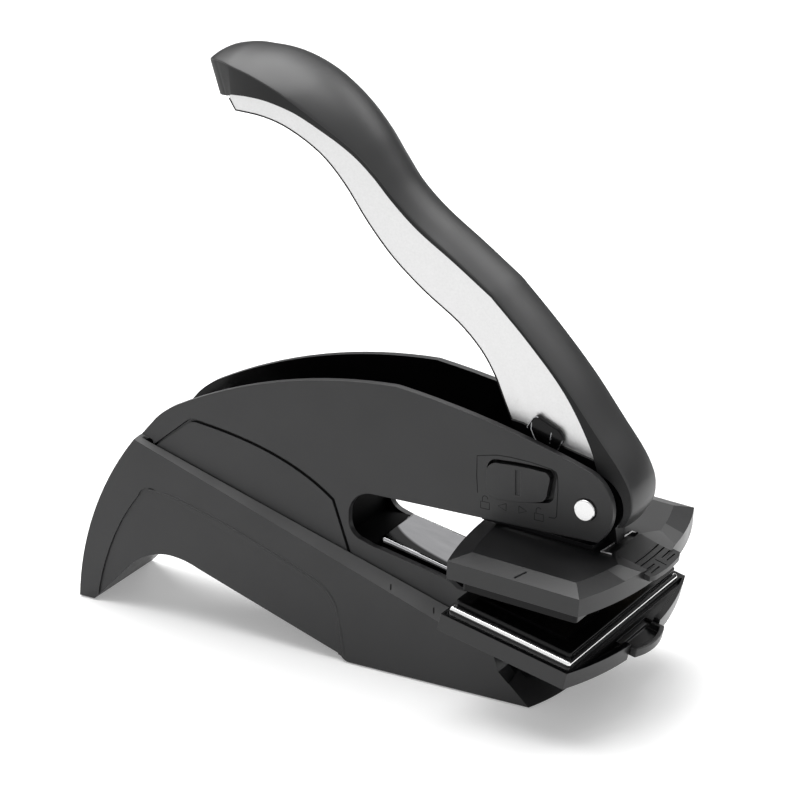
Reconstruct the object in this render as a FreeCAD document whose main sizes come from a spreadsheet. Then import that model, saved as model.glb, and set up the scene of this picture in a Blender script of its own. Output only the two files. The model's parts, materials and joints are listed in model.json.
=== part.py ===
"""Seal embosser: a desk press that squeezes paper between two dies.

A long lever turns on a pin at the nose of two side walls.  A roller on its
hub pushes the upper jaw down onto the fixed lower jaw.  Millimetres, +X to
the jaws, +Z up.  Every sub-part is drawn with X = 0 at the handle pin and
Z = 0 on the desk, and its Placement moves it by pivot_x, which brings the
middle of the floor print to the row's origin.
"""
import FreeCAD, Part
import math
import os
from FreeCAD import Placement, Rotation, Vector

# ------------------------------------------------------------------ sizes
SIZES = [
    ("pivot_height", 56.8, "handle pin above the desk"),
    ("pin_diameter", 6.0, "handle pin"),
    ("pin_proud", 1.0, "pin end beyond the wall"),
    ("running_gap", 0.05, "radial clearance of a turning pin"),
    ("close_gap", 0.3, "clearance between pieces that pass"),
    ("wall_outer", 12.1, "half distance over the side walls"),
    ("wall_thick", 2.0, "side wall sheet"),
    ("wall_crown", 80.1, "highest point of the side walls"),
    ("wall_bottom", 48.2, "wall edge above the upper jaw"),
    ("nose_reach", 7.8, "wall nose ahead of the pin"),
    ("wall_rear", 134.6, "rear end of the walls behind the pin"),
    ("throat_root", 69.9, "throat root behind the pin"),
    ("throat_floor", 35.0, "throat floor at its root"),
    ("ledge_height", 21.6, "casing ledge, where ledge_at says"),
    ("ledge_at", 41.9, "place of ledge_height behind the pin"),
    ("ledge_angle", 17.35, "fall of the ledge to the front, degrees"),
    ("bevel_angle", 27.5, "fall of the ledge bevel outwards, degrees"),
    ("casing_half", 18.4, "half width of the casing at its front foot"),
    ("casing_flare", 1.35, "plan flare of the casing side, degrees"),
    ("casing_draft", 1.8, "draft of the casing side, degrees"),
    ("casing_wall", 2.4, "moulded wall of the casing"),
    ("seam_gap", 0.02, "half gap where the casing halves meet"),
    ("foot_front", 12.6, "front of the casing's foot behind the pin"),
    ("foot_bulge", 3.6, "bulge of the front edge of the foot"),
    ("foot_rear", 68.3, "rear of the casing's front foot"),
    ("heel_outer", 154.4, "rear face of the rear foot"),
    ("heel_wide", 4.9, "rear foot, front to back"),
    ("arch_height", 18.4, "crown of the arch"),
    ("pad_thick", 1.4, "rubber pads"),
    ("pad_proud", 0.4, "pads below the casing"),
    ("panel_recess", 0.5, "sunk panel on the casing side"),
    ("tongue_deep", 1.0, "half lap of the name tongue in the wall"),
    ("tongue_gap", 0.8, "groove round the name tongue"),
    ("tray_rear", 29.7, "rear edge of the lower tray behind the pin"),
    ("tray_top", 30.2, "lower tray top at its rear edge"),
    ("lower_pitch", 13.5, "fall of the lower jaw to the front, degrees"),
    ("tray_half", 35.0, "half width of the lower tray"),
    ("tray_side", 37.5, "side length of the lower tray"),
    ("tray_bulge", 5.8, "front edge bulge of the lower tray"),
    ("tray_thick", 4.8, "lower tray"),
    ("well_deep", 1.2, "sunk front of the lower tray"),
    ("anvil_sink", 2.5, "anvil bar top below the tray top"),
    ("anvil_half", 9.0, "half width of the anvil bar"),
    ("anvil_thick", 3.0, "anvil bar"),
    ("anvil_rear", 32.5, "anvil bar behind the tray's rear edge"),
    ("anvil_front", 31.0, "anvil bar ahead of the tray's rear edge"),
    ("plate_half", 32.0, "half width of the lower die plate"),
    ("plate_thick", 1.4, "die plates"),
    ("plate_start", 0.6, "lower die plate from the tray's rear edge"),
    ("plate_deep", 36.1, "lower die plate, rear to front"),
    ("frame_thick", 2.0, "lower die frame"),
    ("frame_inset", 1.0, "lower die frame inside the edge of its plate"),
    ("die_long", 51.0, "die across the jaws, 2 inch"),
    ("die_short", 25.4, "die along the jaws, 1 inch"),
    ("relief", 0.3, "dies above their frames"),
    ("upper_pitch", 4.0, "fall of the open upper jaw to the front, degrees"),
    ("rim_rear", 28.4, "rear corner of the upper jaw behind the pin"),
    ("rim_height", 44.85, "upper jaw's chamfer edge at its rear corners"),
    ("carrier_half", 33.8, "half width of the upper carrier"),
    ("carrier_side", 37.9, "side length of the upper carrier"),
    ("front_bulge", 6.4, "front edge bulge of the upper carrier"),
    ("rear_bulge", 4.2, "rear edge bulge of the upper carrier"),
    ("carrier_deep", 5.0, "side of the upper carrier below its chamfer"),
    ("chamfer_up", 1.6, "carrier chamfer height"),
    ("chamfer_in", 5.3, "carrier chamfer width"),
    ("grip_half", 8.9, "half width of the finger grip"),
    ("grip_reach", 2.6, "finger grip ahead of the carrier"),
    ("grip_thick", 1.3, "finger grip"),
    ("grip_drop", 1.4, "finger grip's front edge below the chamfer edge"),
    ("grip_slope", 12.0, "fall of the finger grip in the jaw, degrees"),
    ("scoop_half", 15.0, "half width of the scoop in front of the carrier"),
    ("insert_half", 31.5, "half width of the upper die frame"),
    ("insert_start", 3.5, "upper die frame from the carrier's rear corners"),
    ("insert_end", 36.5, "upper die frame's front edge from the same"),
    ("insert_deep", 3.3, "upper die frame below the carrier"),
    ("jaw_pin_back", 37.0, "jaw pin behind the handle pin"),
    ("jaw_pin_height", 52.0, "jaw pin above the desk"),
    ("jaw_pin_diameter", 4.0, "jaw pin"),
    ("arm_half", 9.4, "half width of the jaw arm"),
    ("arm_bed", 1.4, "bed plate of the jaw arm"),
    ("arm_ear", 2.4, "ears of the jaw arm"),
    ("roller_arm", 9.5, "roller centre from the handle pin"),
    ("roller_radius", 3.2, "cam roller"),
    ("roller_half", 2.4, "half length of the cam roller"),
    ("roller_pin_diameter", 2.6, "roller pin"),
    ("cam_gap", 0.12, "clearance between roller and ramp"),
    ("lever_travel", 38.0, "handle travel, degrees"),
    ("plate_out", 7.0, "outer faces of the lever plates"),
    ("lever_sheet", 1.5, "lever plates"),
    ("hub_radius", 8.4, "lever plates round the pin"),
    ("cheek_inner", 3.0, "half slot in the hub for the roller"),
    ("boss_radius", 5.6, "lever hub round the pin"),
    ("washer_radius", 6.0, "pivot washers"),
    ("cover_wall", 1.7, "moulded wall of the handle cover"),
    ("cap_thick", 0.8, "hub caps on the lever plates"),
    ("lug_proud", 1.5, "lock lug beyond the lever plate"),
    ("button_travel", 1.5, "lock button travel"),
    ("button_proud", 0.3, "lock button beyond the wall"),
    ("slide_thick", 0.9, "slide plate behind the lock button"),
    ("catch_half", 8.3, "half width of the release catch"),
    ("catch_reach", 3.0, "release catch ahead of the tray"),
    ("catch_travel", 2.0, "release catch travel"),
    ("catch_thick", 1.5, "release catch"),
    ("catch_rise", 1.1, "rim of the release catch above its plate"),
    ("catch_seat", 2.2, "rim of the release catch behind the tray's front"),
    ("catch_low", 3.5, "bottom of the release catch below the tray's top"),
    ("wire", 0.7, "spring wire"),
    ("spring_radius", 2.6, "return spring"),
    ("spring_at", 50.0, "return spring behind the pin"),
    ("bar_height", 61.5, "spring bar above the desk"),
    ("bar_diameter", 4.0, "spring bar"),
    ("screw_diameter", 3.0, "casing screws"),
    ("small_screw", 2.0, "jaw screws"),
    ("spacer_diameter", 5.0, "frame spacers"),
]

DOC = FreeCAD.newDocument("SealEmbosser")
SHEET = DOC.addObject("Spreadsheet::Sheet", "Sizes")
for row, (alias, value, meaning) in enumerate(SIZES, start=2):
    SHEET.set("A%d" % row, meaning)
    SHEET.set("B%d" % row, str(value))
    SHEET.setAlias("B%d" % row, alias)
DOC.recompute()
SHEET.set("A1", "handle pin ahead of the middle of the floor print")
SHEET.set("B1", "=(heel_outer + rim_rear - (carrier_side + front_bulge + grip_reach)"
          " * cos(upper_pitch * 1 deg) + grip_drop * sin(upper_pitch * 1 deg)) / 2")
SHEET.setAlias("B1", "pivot_x")
DOC.recompute()

SUBPARTS = []
RIGHT, LEFT = -1, 1
SIDE_NAME = {RIGHT: "right", LEFT: "left"}
ACROSS = 60.0


def size(alias):
    return float(SHEET.get(alias))


def named(alias):
    return "<<Sizes>>." + alias


def tan_deg(angle):
    return math.tan(math.radians(angle))


# -------------------------------------------------------------- outlines
def path(start, steps):
    """Closed outline; a step is a point, ("arc", via, end) or ("curve", points)."""
    here = Vector(start[0], start[1], 0)
    first = here
    edges = []
    for step in steps:
        if step[0] == "arc":
            via = Vector(step[1][0], step[1][1], 0)
            end = Vector(step[2][0], step[2][1], 0)
            edges.append(Part.Arc(here, via, end))
        elif step[0] == "curve":
            points = [here] + [Vector(x, z, 0) for x, z in step[1]]
            curve = Part.BSplineCurve()
            curve.interpolate(points)
            edges.append(curve)
            end = points[-1]
        else:
            end = Vector(step[0], step[1], 0)
            edges.append(Part.LineSegment(here, end))
        here = end
    if here.distanceToPoint(first) > 1e-6:
        edges.append(Part.LineSegment(here, first))
    return edges


def box_path(x_low, x_high, y_low, y_high):
    return path((x_low, y_low), [(x_high, y_low), (x_high, y_high), (x_low, y_high)])


def circle_path(x, y, radius):
    return [Part.Circle(Vector(x, y, 0), Vector(0, 0, 1), radius)]


def rounded_box(x_low, x_high, y_low, y_high, radius):
    """Rectangle with four rounded corners."""
    cut = radius * (1 - math.sqrt(0.5))
    return path((x_low + radius, y_low), [
        (x_high - radius, y_low),
        ("arc", (x_high - cut, y_low + cut), (x_high, y_low + radius)),
        (x_high, y_high - radius),
        ("arc", (x_high - cut, y_high - cut), (x_high - radius, y_high)),
        (x_low + radius, y_high),
        ("arc", (x_low + cut, y_high - cut), (x_low, y_high - radius)),
        (x_low, y_low + radius),
        ("arc", (x_low + cut, y_low + cut), (x_low + radius, y_low))])


def jaw_outline(half, side, bulge, rear_bulge=0.0):
    """Jaw seen from above: straight sides, front edge and maybe rear edge bulged."""
    steps = [(side, -half), ("arc", (side + bulge, 0), (side, half)), (0, half)]
    if rear_bulge:
        steps.append(("arc", (-rear_bulge, 0), (0, -half)))
    return path((0, -half), steps)


# --------------------------------------------------------------- features
UPRIGHT, FLAT = "XZ_Plane", "XY_Plane"


def bind_place(item, place):
    """Places a sub-part; the sheet's pivot_x brings the pin line to the row frame."""
    item.Placement = place
    item.setExpression("Placement.Base.x", "%s + %.6f" % (named("pivot_x"), place.Base.x))


def new_body(label, place=None):
    body = DOC.addObject("PartDesign::Body", label)
    body.Label = label
    bind_place(body, place or Placement())
    SUBPARTS.append(body)
    return body


def free_part(label, shape, place=None):
    """Free shape as a sub-part, placed after its Shape."""
    item = DOC.addObject("Part::Feature", label)
    item.Label = label
    item.Shape = shape
    bind_place(item, place or Placement())
    SUBPARTS.append(item)
    return item


def sketch(body, role, edges, level, turn=None):
    """Sketch on one of the body's planes, moved to level along the plane's normal."""
    plane = [item for item in body.Origin.OriginFeatures if item.Role == role][0]
    drawing = body.newObject("Sketcher::SketchObject", body.Label + "_outline")
    drawing.AttachmentSupport = [(plane, "")]
    drawing.MapMode = "FlatFace"
    drawing.AttachmentOffset = turn or Placement(Vector(0, 0, level), Rotation())
    drawing.addGeometry(edges, False)
    return drawing


def set_length(feature, name, length):
    if isinstance(length, str):
        feature.setExpression(name, length)
    else:
        setattr(feature, name, length)


def add(body, role, edges, level, thick, turn=None):
    """Pad whose middle is at level; thick is a number or an expression."""
    feature = body.newObject("PartDesign::Pad", body.Label + "_pad")
    feature.Profile = sketch(body, role, edges, level, turn)
    feature.SideType = "Symmetric"
    set_length(feature, "Length", thick)
    DOC.recompute()
    return feature


def cut(body, role, edges, level, thick, turn=None):
    """Pocket whose middle is at level; it has to remove something."""
    before = body.Shape.Volume
    feature = body.newObject("PartDesign::Pocket", body.Label + "_pocket")
    feature.Profile = sketch(body, role, edges, level, turn)
    feature.SideType = "Symmetric"
    set_length(feature, "Length", thick)
    DOC.recompute()
    if not body.Shape.Volume < before - 1e-4:
        raise ValueError("pocket removes nothing: " + feature.Label)
    return feature


def cut_beyond(body, corner, turn, side, upwards):
    """Removes all that lies beyond a tilted plane through corner."""
    span = 500.0
    low = Vector(-span / 2, 0 if side == LEFT else -span, -span / 2)
    if upwards:
        low = Vector(-span / 2, -span / 2, 0)
    block = body.newObject("PartDesign::SubtractiveBox", body.Label + "_face")
    block.Length = span
    block.Width = span
    block.Height = span
    block.Placement = Placement(corner, turn).multiply(Placement(low, Rotation()))
    DOC.recompute()
    return block


def level_y(y):
    """Level on the upright plane for a place y across the part."""
    return -y


def prism(edges, y_low, y_high):
    """Upright outline as a plain solid between two places across the part."""
    face = Part.Face(Part.Wire([edge.toShape() for edge in edges]))
    stand = Placement(Vector(0, y_low, 0), Rotation(Vector(1, 0, 0), 90))
    return face.transformed(stand.toMatrix()).extrude(Vector(0, y_high - y_low, 0))


def across(x, z, radius, half):
    """Cylinder along Y, centred on the part."""
    return Part.makeCylinder(radius, 2 * half, Vector(x, -half, z), Vector(0, 1, 0))


# ---------------------------------------------------------- derived values
PIN_Z = size("pivot_height")
WALL_OUT = size("wall_outer")
WALL_IN = WALL_OUT - size("wall_thick")
SKIN = WALL_OUT + size("close_gap")
JAW_X = -size("jaw_pin_back")
JAW_Z = size("jaw_pin_height")
GAP = size("close_gap")
RUN = size("running_gap")
FLOOR = size("pad_proud") + size("casing_wall")
LOWER = Placement(Vector(-size("tray_rear"), 0, size("tray_top")),
                  Rotation(Vector(0, 1, 0), size("lower_pitch")))
UPPER = Placement(Vector(-size("rim_rear"), 0, size("rim_height")),
                  Rotation(Vector(0, 1, 0), size("upper_pitch")))


def ledge(x):
    """Height of the casing ledge where the wall comes out of it."""
    return size("ledge_height") - (x + size("ledge_at")) * tan_deg(size("ledge_angle"))


def below_tray(x, depth):
    """Height of a line that lies depth below the tray's top."""
    pitch = size("lower_pitch")
    drop = depth / math.cos(math.radians(pitch))
    return size("tray_top") - drop - (x + size("tray_rear")) * tan_deg(pitch)


def above_carrier(x, rise):
    """Height of a line that lies rise above the upper jaw's chamfer edge."""
    pitch = size("upper_pitch")
    lift = rise / math.cos(math.radians(pitch))
    return size("rim_height") + lift - (x + size("rim_rear")) * tan_deg(pitch)


# -------------------------------------------------------------- side walls
TONGUE_REAR, TONGUE_FRONT = -129.8, -70.4
FRAME_SCREWS = [(x, y) for x in (-58.0, -36.0) for y in (-5.5, 5.5)]


def tongue_edges(grow):
    """Name tongue of the casing; grow widens it by the groove round it."""
    rear = TONGUE_REAR - grow
    front = TONGUE_FRONT + grow
    root = 2.4 + grow
    return path((rear, ledge(rear) - root), [
        (rear, ledge(TONGUE_REAR)),
        (-119.6 - 0.6 * grow, 57.3 + 0.8 * grow),
        ("arc", (-118.4 - 0.3 * grow, 57.9 + grow), (-116.5, 58.0 + grow)),
        ("curve", [(-98.6, 54.9 + grow), (-83.2 + 0.3 * grow, 49.2 + grow),
                   (-75.0 + 0.8 * grow, 44.0 + 0.7 * grow)]),
        (-72.7 + grow, 37.4),
        (front, ledge(TONGUE_FRONT)),
        (front, ledge(front) - root)])


def wall_edges():
    rear = -size("wall_rear")
    crown = size("wall_crown")
    bottom = size("wall_bottom")
    root = -size("throat_root")
    floor = size("throat_floor")
    under = size("tray_thick")
    front = -3.0
    return path((rear, ledge(rear) + 0.8), [
        (rear + 4.7, crown - 23.2),
        ("arc", (rear + 7.4, crown - 20.8), (rear + 10.7, crown - 18.6)),
        ("arc", (rear + 42.6, crown - 5.7), (rear + 79.1, crown)),
        ("arc", (-30.7, crown - 4.0), (1.0, 67.4)),
        ("arc", (size("nose_reach"), PIN_Z + 0.8), (3.4, bottom)),
        (root + 7.2, bottom),
        ("arc", (root + 2.1, bottom - 2.1), (root, bottom - 7.2)),
        (root, floor + 4.5),
        ("arc", (root + 0.8, floor + 1.5), (root + 3.0, floor - 0.4)),
        (root + 7.6, floor - 1.9),
        (root + 9.4, floor - 2.1),
        (-40.4, 28.6), (-37.0, 26.5),
        (-33.0, below_tray(-33.0, under)),
        (front, below_tray(front, under)),
        (front, 15.4), (-24.0, 8.4), (-28.6, 7.2), (-30.5, 3.2), (-66.0, 3.2),
        (-116.0, 22.0), (-131.0, 45.0), (-131.0, ledge(-131.0) + 0.8)])


def window_edges(inset, right_gap):
    """Window of the lock button in the right wall, or the button inside it."""
    left = -28.6 + 0.5 * inset
    right = -8.4 - right_gap
    top = 65.8 - inset
    low = 55.2 + 0.6 * inset
    return path((left, 58.0), [
        (left + 0.1, 62.4), ("arc", (left + 1.2, top - 0.9), (left + 3.8, top - 0.2)),
        ("arc", (-19.0, top + 0.1), (right - 1.8, top - 0.1)),
        ("arc", (right - 0.4, top - 0.6), (right, top - 2.0)),
        (right - 0.7, 59.4),
        ("arc", (right - 1.2, low + 2.2), (right - 2.9, low + 1.1)),
        ("arc", (-18.9, low), (left + 3.4, low - 0.3)),
        ("arc", (left + 1.1, low + 0.4), (left, 58.0))])


def side_wall(side):
    body = new_body(SIDE_NAME[side] + "_side_wall")
    middle = level_y(side * (WALL_OUT + WALL_IN) / 2)
    inner = level_y(side * WALL_IN)
    outer = level_y(side * WALL_OUT)
    add(body, UPRIGHT, wall_edges(), middle, named("wall_thick"))
    cut(body, UPRIGHT, tongue_edges(size("tongue_gap")), outer, "2 * " + named("tongue_deep"))
    bore = size("pin_diameter") / 2 + RUN
    cut(body, UPRIGHT, circle_path(0, PIN_Z, bore), middle, ACROSS / 10)
    jaw_bore = size("jaw_pin_diameter") / 2 + RUN
    cut(body, UPRIGHT, circle_path(JAW_X, JAW_Z, jaw_bore), inner, named("wall_thick"))
    if side == RIGHT:
        cut(body, UPRIGHT, window_edges(0.0, 0.0), middle, ACROSS / 10)


# ------------------------------------------------------------ base casing
LIP_TOP, LIP_SLOPE = 8.4, 41.0


def casing_edges(inset):
    """Side outline of the casing; inset gives the inside of its moulded wall."""
    front = -size("foot_front")
    heel_out = -size("heel_outer")
    heel_in = heel_out + size("heel_wide")
    foot_rear = -size("foot_rear")
    arch = size("arch_height") + inset
    rear_top = -size("wall_rear") - 0.8
    floor = size("pad_proud") + inset
    top = front - 12.0 - inset
    run = (LIP_TOP - size("pad_proud")) / tan_deg(LIP_SLOPE)
    return path((front - 2.4 * inset, floor), [
        (front - run - 1.6 * inset, LIP_TOP),
        (top, ledge(top) - inset),
        (rear_top + inset, ledge(rear_top) - 1.4 * inset),
        ("curve", [(heel_out + 7.6 + inset, 32.3), (heel_out + 2.3 + inset, 17.1),
                   (heel_out + inset, floor)]),
        (heel_in - 0.5 * inset, floor),
        (heel_in + 12.5 - 0.6 * inset, 13.5 + 0.7 * inset),
        ("arc", (heel_in + 18.0 - 0.4 * inset, arch - 1.4), (heel_in + 24.0, arch)),
        ("arc", (heel_in + 28.5, arch - 0.3), (heel_in + 33.8, arch - 1.8)),
        (foot_rear - 1.5 + 0.5 * inset, 1.7 + inset),
        ("arc", (foot_rear - 0.3 + 0.6 * inset, 0.7 + inset), (foot_rear + 1.4 + 0.6 * inset, floor))])


def sunk_panel_edges(shift):
    """Sunk panel on the casing side, open to the arch and the desk."""
    heel = shift - size("heel_outer")
    moved = [(heel + 5.5, -6.0), (heel + 6.5, 4.0), (heel + 10.0, 16.6), (heel + 14.2, 25.8),
             (heel + 19.6, 34.0)]
    return path(moved[0], [
        ("curve", moved[1:]),
        ("arc", (heel + 21.4, 36.4), (heel + 24.6, 37.0)),
        (-84.0 + shift, 22.7),
        ("arc", (-74.8 + shift, 17.5), (-71.6 + shift, 9.0)),
        (-69.7 + shift, -6.0)])


def pad_boxes():
    """Floor pads: x_low, x_high, y_low, y_high."""
    front = -size("foot_front") - 7.0
    back = -size("foot_rear") + 5.0
    heel = -size("heel_outer")
    return [(back, front, -15.2, -10.8), (back, front, 10.8, 15.2), (heel + 1.4, heel + 4.4, -11.5, 11.5)]


def front_lip(body, side):
    """Lower front lip of the casing: it slopes back and bulges forwards in plan."""
    front = -size("foot_front")
    bulge = size("foot_bulge")
    half = size("casing_half")
    seam = side * size("seam_gap")
    low = size("pad_proud")
    high = LIP_TOP
    lip = path((front - 6.0, seam), [
        (front + bulge + 1.0, seam), (front + bulge + 1.0, side * half), (front - 6.0, side * half)])
    add(body, FLAT, lip, (low + high) / 2, high - low)
    slope = math.sin(math.radians(LIP_SLOPE))
    reach = 1.4 * half
    back = -bulge * (reach / half) ** 2 * slope
    beyond = path((back, -reach), [
        ("arc", (0, 0), (back, reach)), (ACROSS / 2, reach), (ACROSS / 2, -reach)])
    turn = Placement(Vector(front + bulge, 0, low), Rotation(Vector(0, 1, 0), LIP_SLOPE - 90.0))
    cut(body, FLAT, beyond, 0, 2 * (high - low + 0.3) / slope, turn)


def base_shell(side):
    body = new_body(SIDE_NAME[side] + "_base_shell")
    wide = 30.0
    middle = level_y(side * (wide + size("seam_gap")) / 2)
    add(body, UPRIGHT, casing_edges(0.0), middle, wide - size("seam_gap"))
    front_lip(body, side)
    flare = Rotation(Vector(0, 0, 1), side * size("casing_flare"))
    lean = Rotation(Vector(1, 0, 0), side * size("casing_draft"))
    corner = Vector(-size("foot_front"), side * size("casing_half"), 0)
    cut_beyond(body, corner, flare.multiply(lean), side, False)
    fall = Rotation(Vector(0, 1, 0), size("ledge_angle"))
    tip = Rotation(Vector(1, 0, 0), -side * size("bevel_angle"))
    ledge_corner = Vector(-size("ledge_at"), side * SKIN, size("ledge_height"))
    cut_beyond(body, ledge_corner, fall.multiply(tip), side, True)
    hollow = 2 * SKIN
    cut(body, UPRIGHT, casing_edges(size("casing_wall")), 0, hollow)
    start = -size("wall_rear") - 0.8 + size("casing_wall")
    end = -size("foot_front")
    slot = path((start, ledge(start) - 8.2), [
        (end, ledge(end) - 8.2), (end, ledge(end) + 9), (start, ledge(start) + 9)])
    cut(body, UPRIGHT, slot, 0, hollow)
    tilt = Rotation(Vector(0, 1, 0), side * size("casing_flare"))
    tilt = tilt.multiply(Rotation(Vector(1, 0, 0), side * size("casing_draft")))
    face = Placement(Vector(-size("foot_front"), 0, level_y(side * size("casing_half"))), tilt)
    cut(body, UPRIGHT, sunk_panel_edges(size("foot_front")), 0, "2 * " + named("panel_recess"), face)
    lap = WALL_OUT - size("tongue_deep")
    root_mid = level_y(side * (SKIN + 0.5 + lap) / 2)
    root = path((-128.6, ledge(-128.6) - 2.4), [
        (-128.6, ledge(-128.6) - 0.5), (-71.4, ledge(-71.4) - 0.5), (-71.4, ledge(-71.4) - 2.4)])
    add(body, UPRIGHT, root, root_mid, SKIN + 0.5 - lap)
    tongue_mid = level_y(side * (WALL_OUT + lap) / 2)
    add(body, UPRIGHT, tongue_edges(0.0), tongue_mid, named("tongue_deep"))
    for x, y in FRAME_SCREWS:
        if y * side > 0:
            hole = size("screw_diameter") / 2 + RUN
            cut(body, FLAT, circle_path(x, y, hole), 0, ACROSS / 5)
            cut(body, FLAT, circle_path(x, y, size("screw_diameter") + RUN), 0, "2 * 1.8")
    for x_low, x_high, y_low, y_high in pad_boxes():
        if y_low * side > 0 or y_high * side > 0:
            seat = box_path(x_low - RUN, x_high + RUN, y_low - RUN, y_high + RUN)
            cut(body, FLAT, seat, 0, "2 * " + named("pad_thick"))


def foot_pads():
    solids = []
    for x_low, x_high, y_low, y_high in pad_boxes():
        solids.append(Part.makeBox(x_high - x_low, y_high - y_low, size("pad_thick"),
                                   Vector(x_low, y_low, 0)))
    free_part("foot_pads", Part.makeCompound(solids))


def frame_screws():
    solids = []
    for x, y in FRAME_SCREWS:
        head = Part.makeCylinder(size("screw_diameter"), 1.2, Vector(x, y, 0.6))
        shank = Part.makeCylinder(size("screw_diameter") / 2, 7.6, Vector(x, y, 1.7))
        socket = Part.makeCylinder(1.3, 0.8, Vector(x, y, 0.5))
        solids.append(head.fuse(shank).removeSplitter().cut(socket))
    free_part("casing_screws", Part.makeCompound(solids))


# ----------------------------------------------------------- inner frame
def throat_block():
    """Block between the walls: it carries the anvil bar and closes the throat's root."""
    body = new_body("throat_block")
    depth = size("anvil_sink") + size("anvil_thick")
    root = -size("throat_root")
    floor = size("throat_floor")
    rear = -size("tray_rear") - size("anvil_rear") - 0.2
    front = -3.4
    edges = path((rear, below_tray(rear, depth)), [
        (front, below_tray(front, depth)), (front, 16.0), (-24.0, 9.0), (-28.8, 7.6),
        (-30.8, FLOOR), (-66.0, FLOOR), (-75.0, 8.0), (root - 6.0, 46.5),
        (root - 1.0, 46.5), (root - 1.2, floor - 0.8), (rear, floor - 1.2)])
    add(body, UPRIGHT, edges, 0, 2 * WALL_IN)
    for x, y in FRAME_SCREWS:
        hole = size("screw_diameter") / 2 + RUN
        cut(body, FLAT, circle_path(x, y, hole), FLOOR, 14.0)


def frame_spacers():
    solids = []
    rear = -size("wall_rear")
    for x in (rear + 13.6, rear + 39.6):
        solids.append(across(x, PIN_Z - 12.8, size("spacer_diameter") / 2, WALL_IN))
    free_part("frame_spacers", Part.makeCompound(solids))


def channel_floor():
    """Bent strip between the walls below the folded lever."""
    body = new_body("channel_floor")
    rear = -size("wall_rear") + 3.0
    front = -size("jaw_pin_back") - 21.0
    low = PIN_Z + 2.4
    edges = path((rear, ledge(rear) + 1.0), [
        (rear + 13.0, low), (front, low), (front, low + 1.4), (rear + 12.4, low + 1.4),
        (rear - 0.6, ledge(rear) + 2.6)])
    add(body, UPRIGHT, edges, 0, 2 * WALL_IN)


# ------------------------------------------------------------- lower jaw
def anvil_bar():
    body = new_body("anvil_bar", LOWER)
    half = size("anvil_half")
    edges = rounded_box(-size("anvil_rear"), size("anvil_front"), -half, half, 1.2)
    add(body, FLAT, edges, -size("anvil_sink") - size("anvil_thick") / 2, named("anvil_thick"))


CATCH_REAR = 34.4
JAW_SCREWS = [(u, y) for u in (8.0, 29.0) for y in (-27.5, 27.5)]


def lower_tray():
    body = new_body("lower_tray", LOWER)
    thick = size("tray_thick")
    half = size("tray_half")
    side = size("tray_side")
    bulge = size("tray_bulge")
    add(body, FLAT, jaw_outline(half, side, bulge), -thick / 2, named("tray_thick"))
    wide = size("anvil_half") + GAP
    channel = box_path(-1.0, size("anvil_front") + GAP, -wide, wide)
    cut(body, FLAT, channel, -thick, 2 * (thick - size("anvil_sink")))
    start = size("plate_start") + size("plate_deep") + GAP
    rim = 2.0
    well = path((start, -half + rim), [
        (side, -half + rim), ("arc", (side + bulge - rim, 0), (side, half - rim)),
        (start, half - rim)])
    cut(body, FLAT, well, 0, "2 * " + named("well_deep"))
    catch = size("catch_half") + GAP
    mouth = box_path(CATCH_REAR - size("catch_travel") - GAP, side + bulge + 1, -catch, catch)
    roof = size("catch_low") - size("catch_thick") - 0.2
    cut(body, FLAT, mouth, -thick, 2 * (thick - roof))
    behind = size("catch_seat") + size("catch_travel") + GAP
    notch = box_path(side + bulge - behind, side + bulge + 1, -catch, catch)
    cut(body, FLAT, notch, -thick / 2, 2 * thick)
    for u, y in JAW_SCREWS:
        hole = size("small_screw") / 2 + RUN
        cut(body, FLAT, circle_path(u, y, hole), -thick / 2, 2 * thick)
        cut(body, FLAT, circle_path(u, y, size("small_screw") + RUN), -thick, "2 * 1.5")


def lower_die_plate():
    body = new_body("lower_die_plate", LOWER)
    half = size("plate_half")
    start = size("plate_start")
    edges = rounded_box(start, start + size("plate_deep"), -half, half, 1.0)
    add(body, FLAT, edges, size("plate_thick") / 2, named("plate_thick"))
    for u, y in JAW_SCREWS:
        cut(body, FLAT, circle_path(u, y, size("small_screw") / 2 + RUN), 0, 2.0)


def die_frame(label, place, start, end, half, low, high):
    """Rim that locates a die on its plate."""
    body = new_body(label, place)
    middle = (start + end) / 2
    level = (low + high) / 2
    add(body, FLAT, rounded_box(start, end, -half, half, 1.0), level, high - low)
    wide = size("die_long") / 2 + RUN
    deep = size("die_short") / 2 + RUN
    opening = box_path(middle - deep, middle + deep, -wide, wide)
    cut(body, FLAT, opening, level, 2 * (high - low))
    return middle


def die(label, place, middle, seat, face):
    """Engraved die: its field is sunk, and a border and three bars stand up."""
    body = new_body(label, place)
    wide = size("die_long") / 2
    deep = size("die_short") / 2
    edges = box_path(middle - deep, middle + deep, -wide, wide)
    add(body, FLAT, edges, (seat + face) / 2, abs(face - seat))
    field = rounded_box(middle - deep + 1.2, middle + deep - 1.2, -wide + 1.2, wide - 1.2, 2.0)
    for shift, reach in ((-6.5, 0.55), (0.0, 0.75), (6.5, 0.55)):
        field += box_path(middle + shift - 1.2, middle + shift + 1.2, -reach * wide, reach * wide)
    cut(body, FLAT, field, face, "2 * " + named("relief"))


def jaw_screws(label, place, places, head_low, head_high, shank_low, shank_high):
    solids = []
    for u, y in places:
        head = Part.makeCylinder(size("small_screw"), head_high - head_low, Vector(u, y, head_low))
        shank = Part.makeCylinder(size("small_screw") / 2, shank_high - shank_low, Vector(u, y, shank_low))
        solids.append(head.fuse(shank).removeSplitter())
    free_part(label, Part.makeCompound(solids), place)


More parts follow.
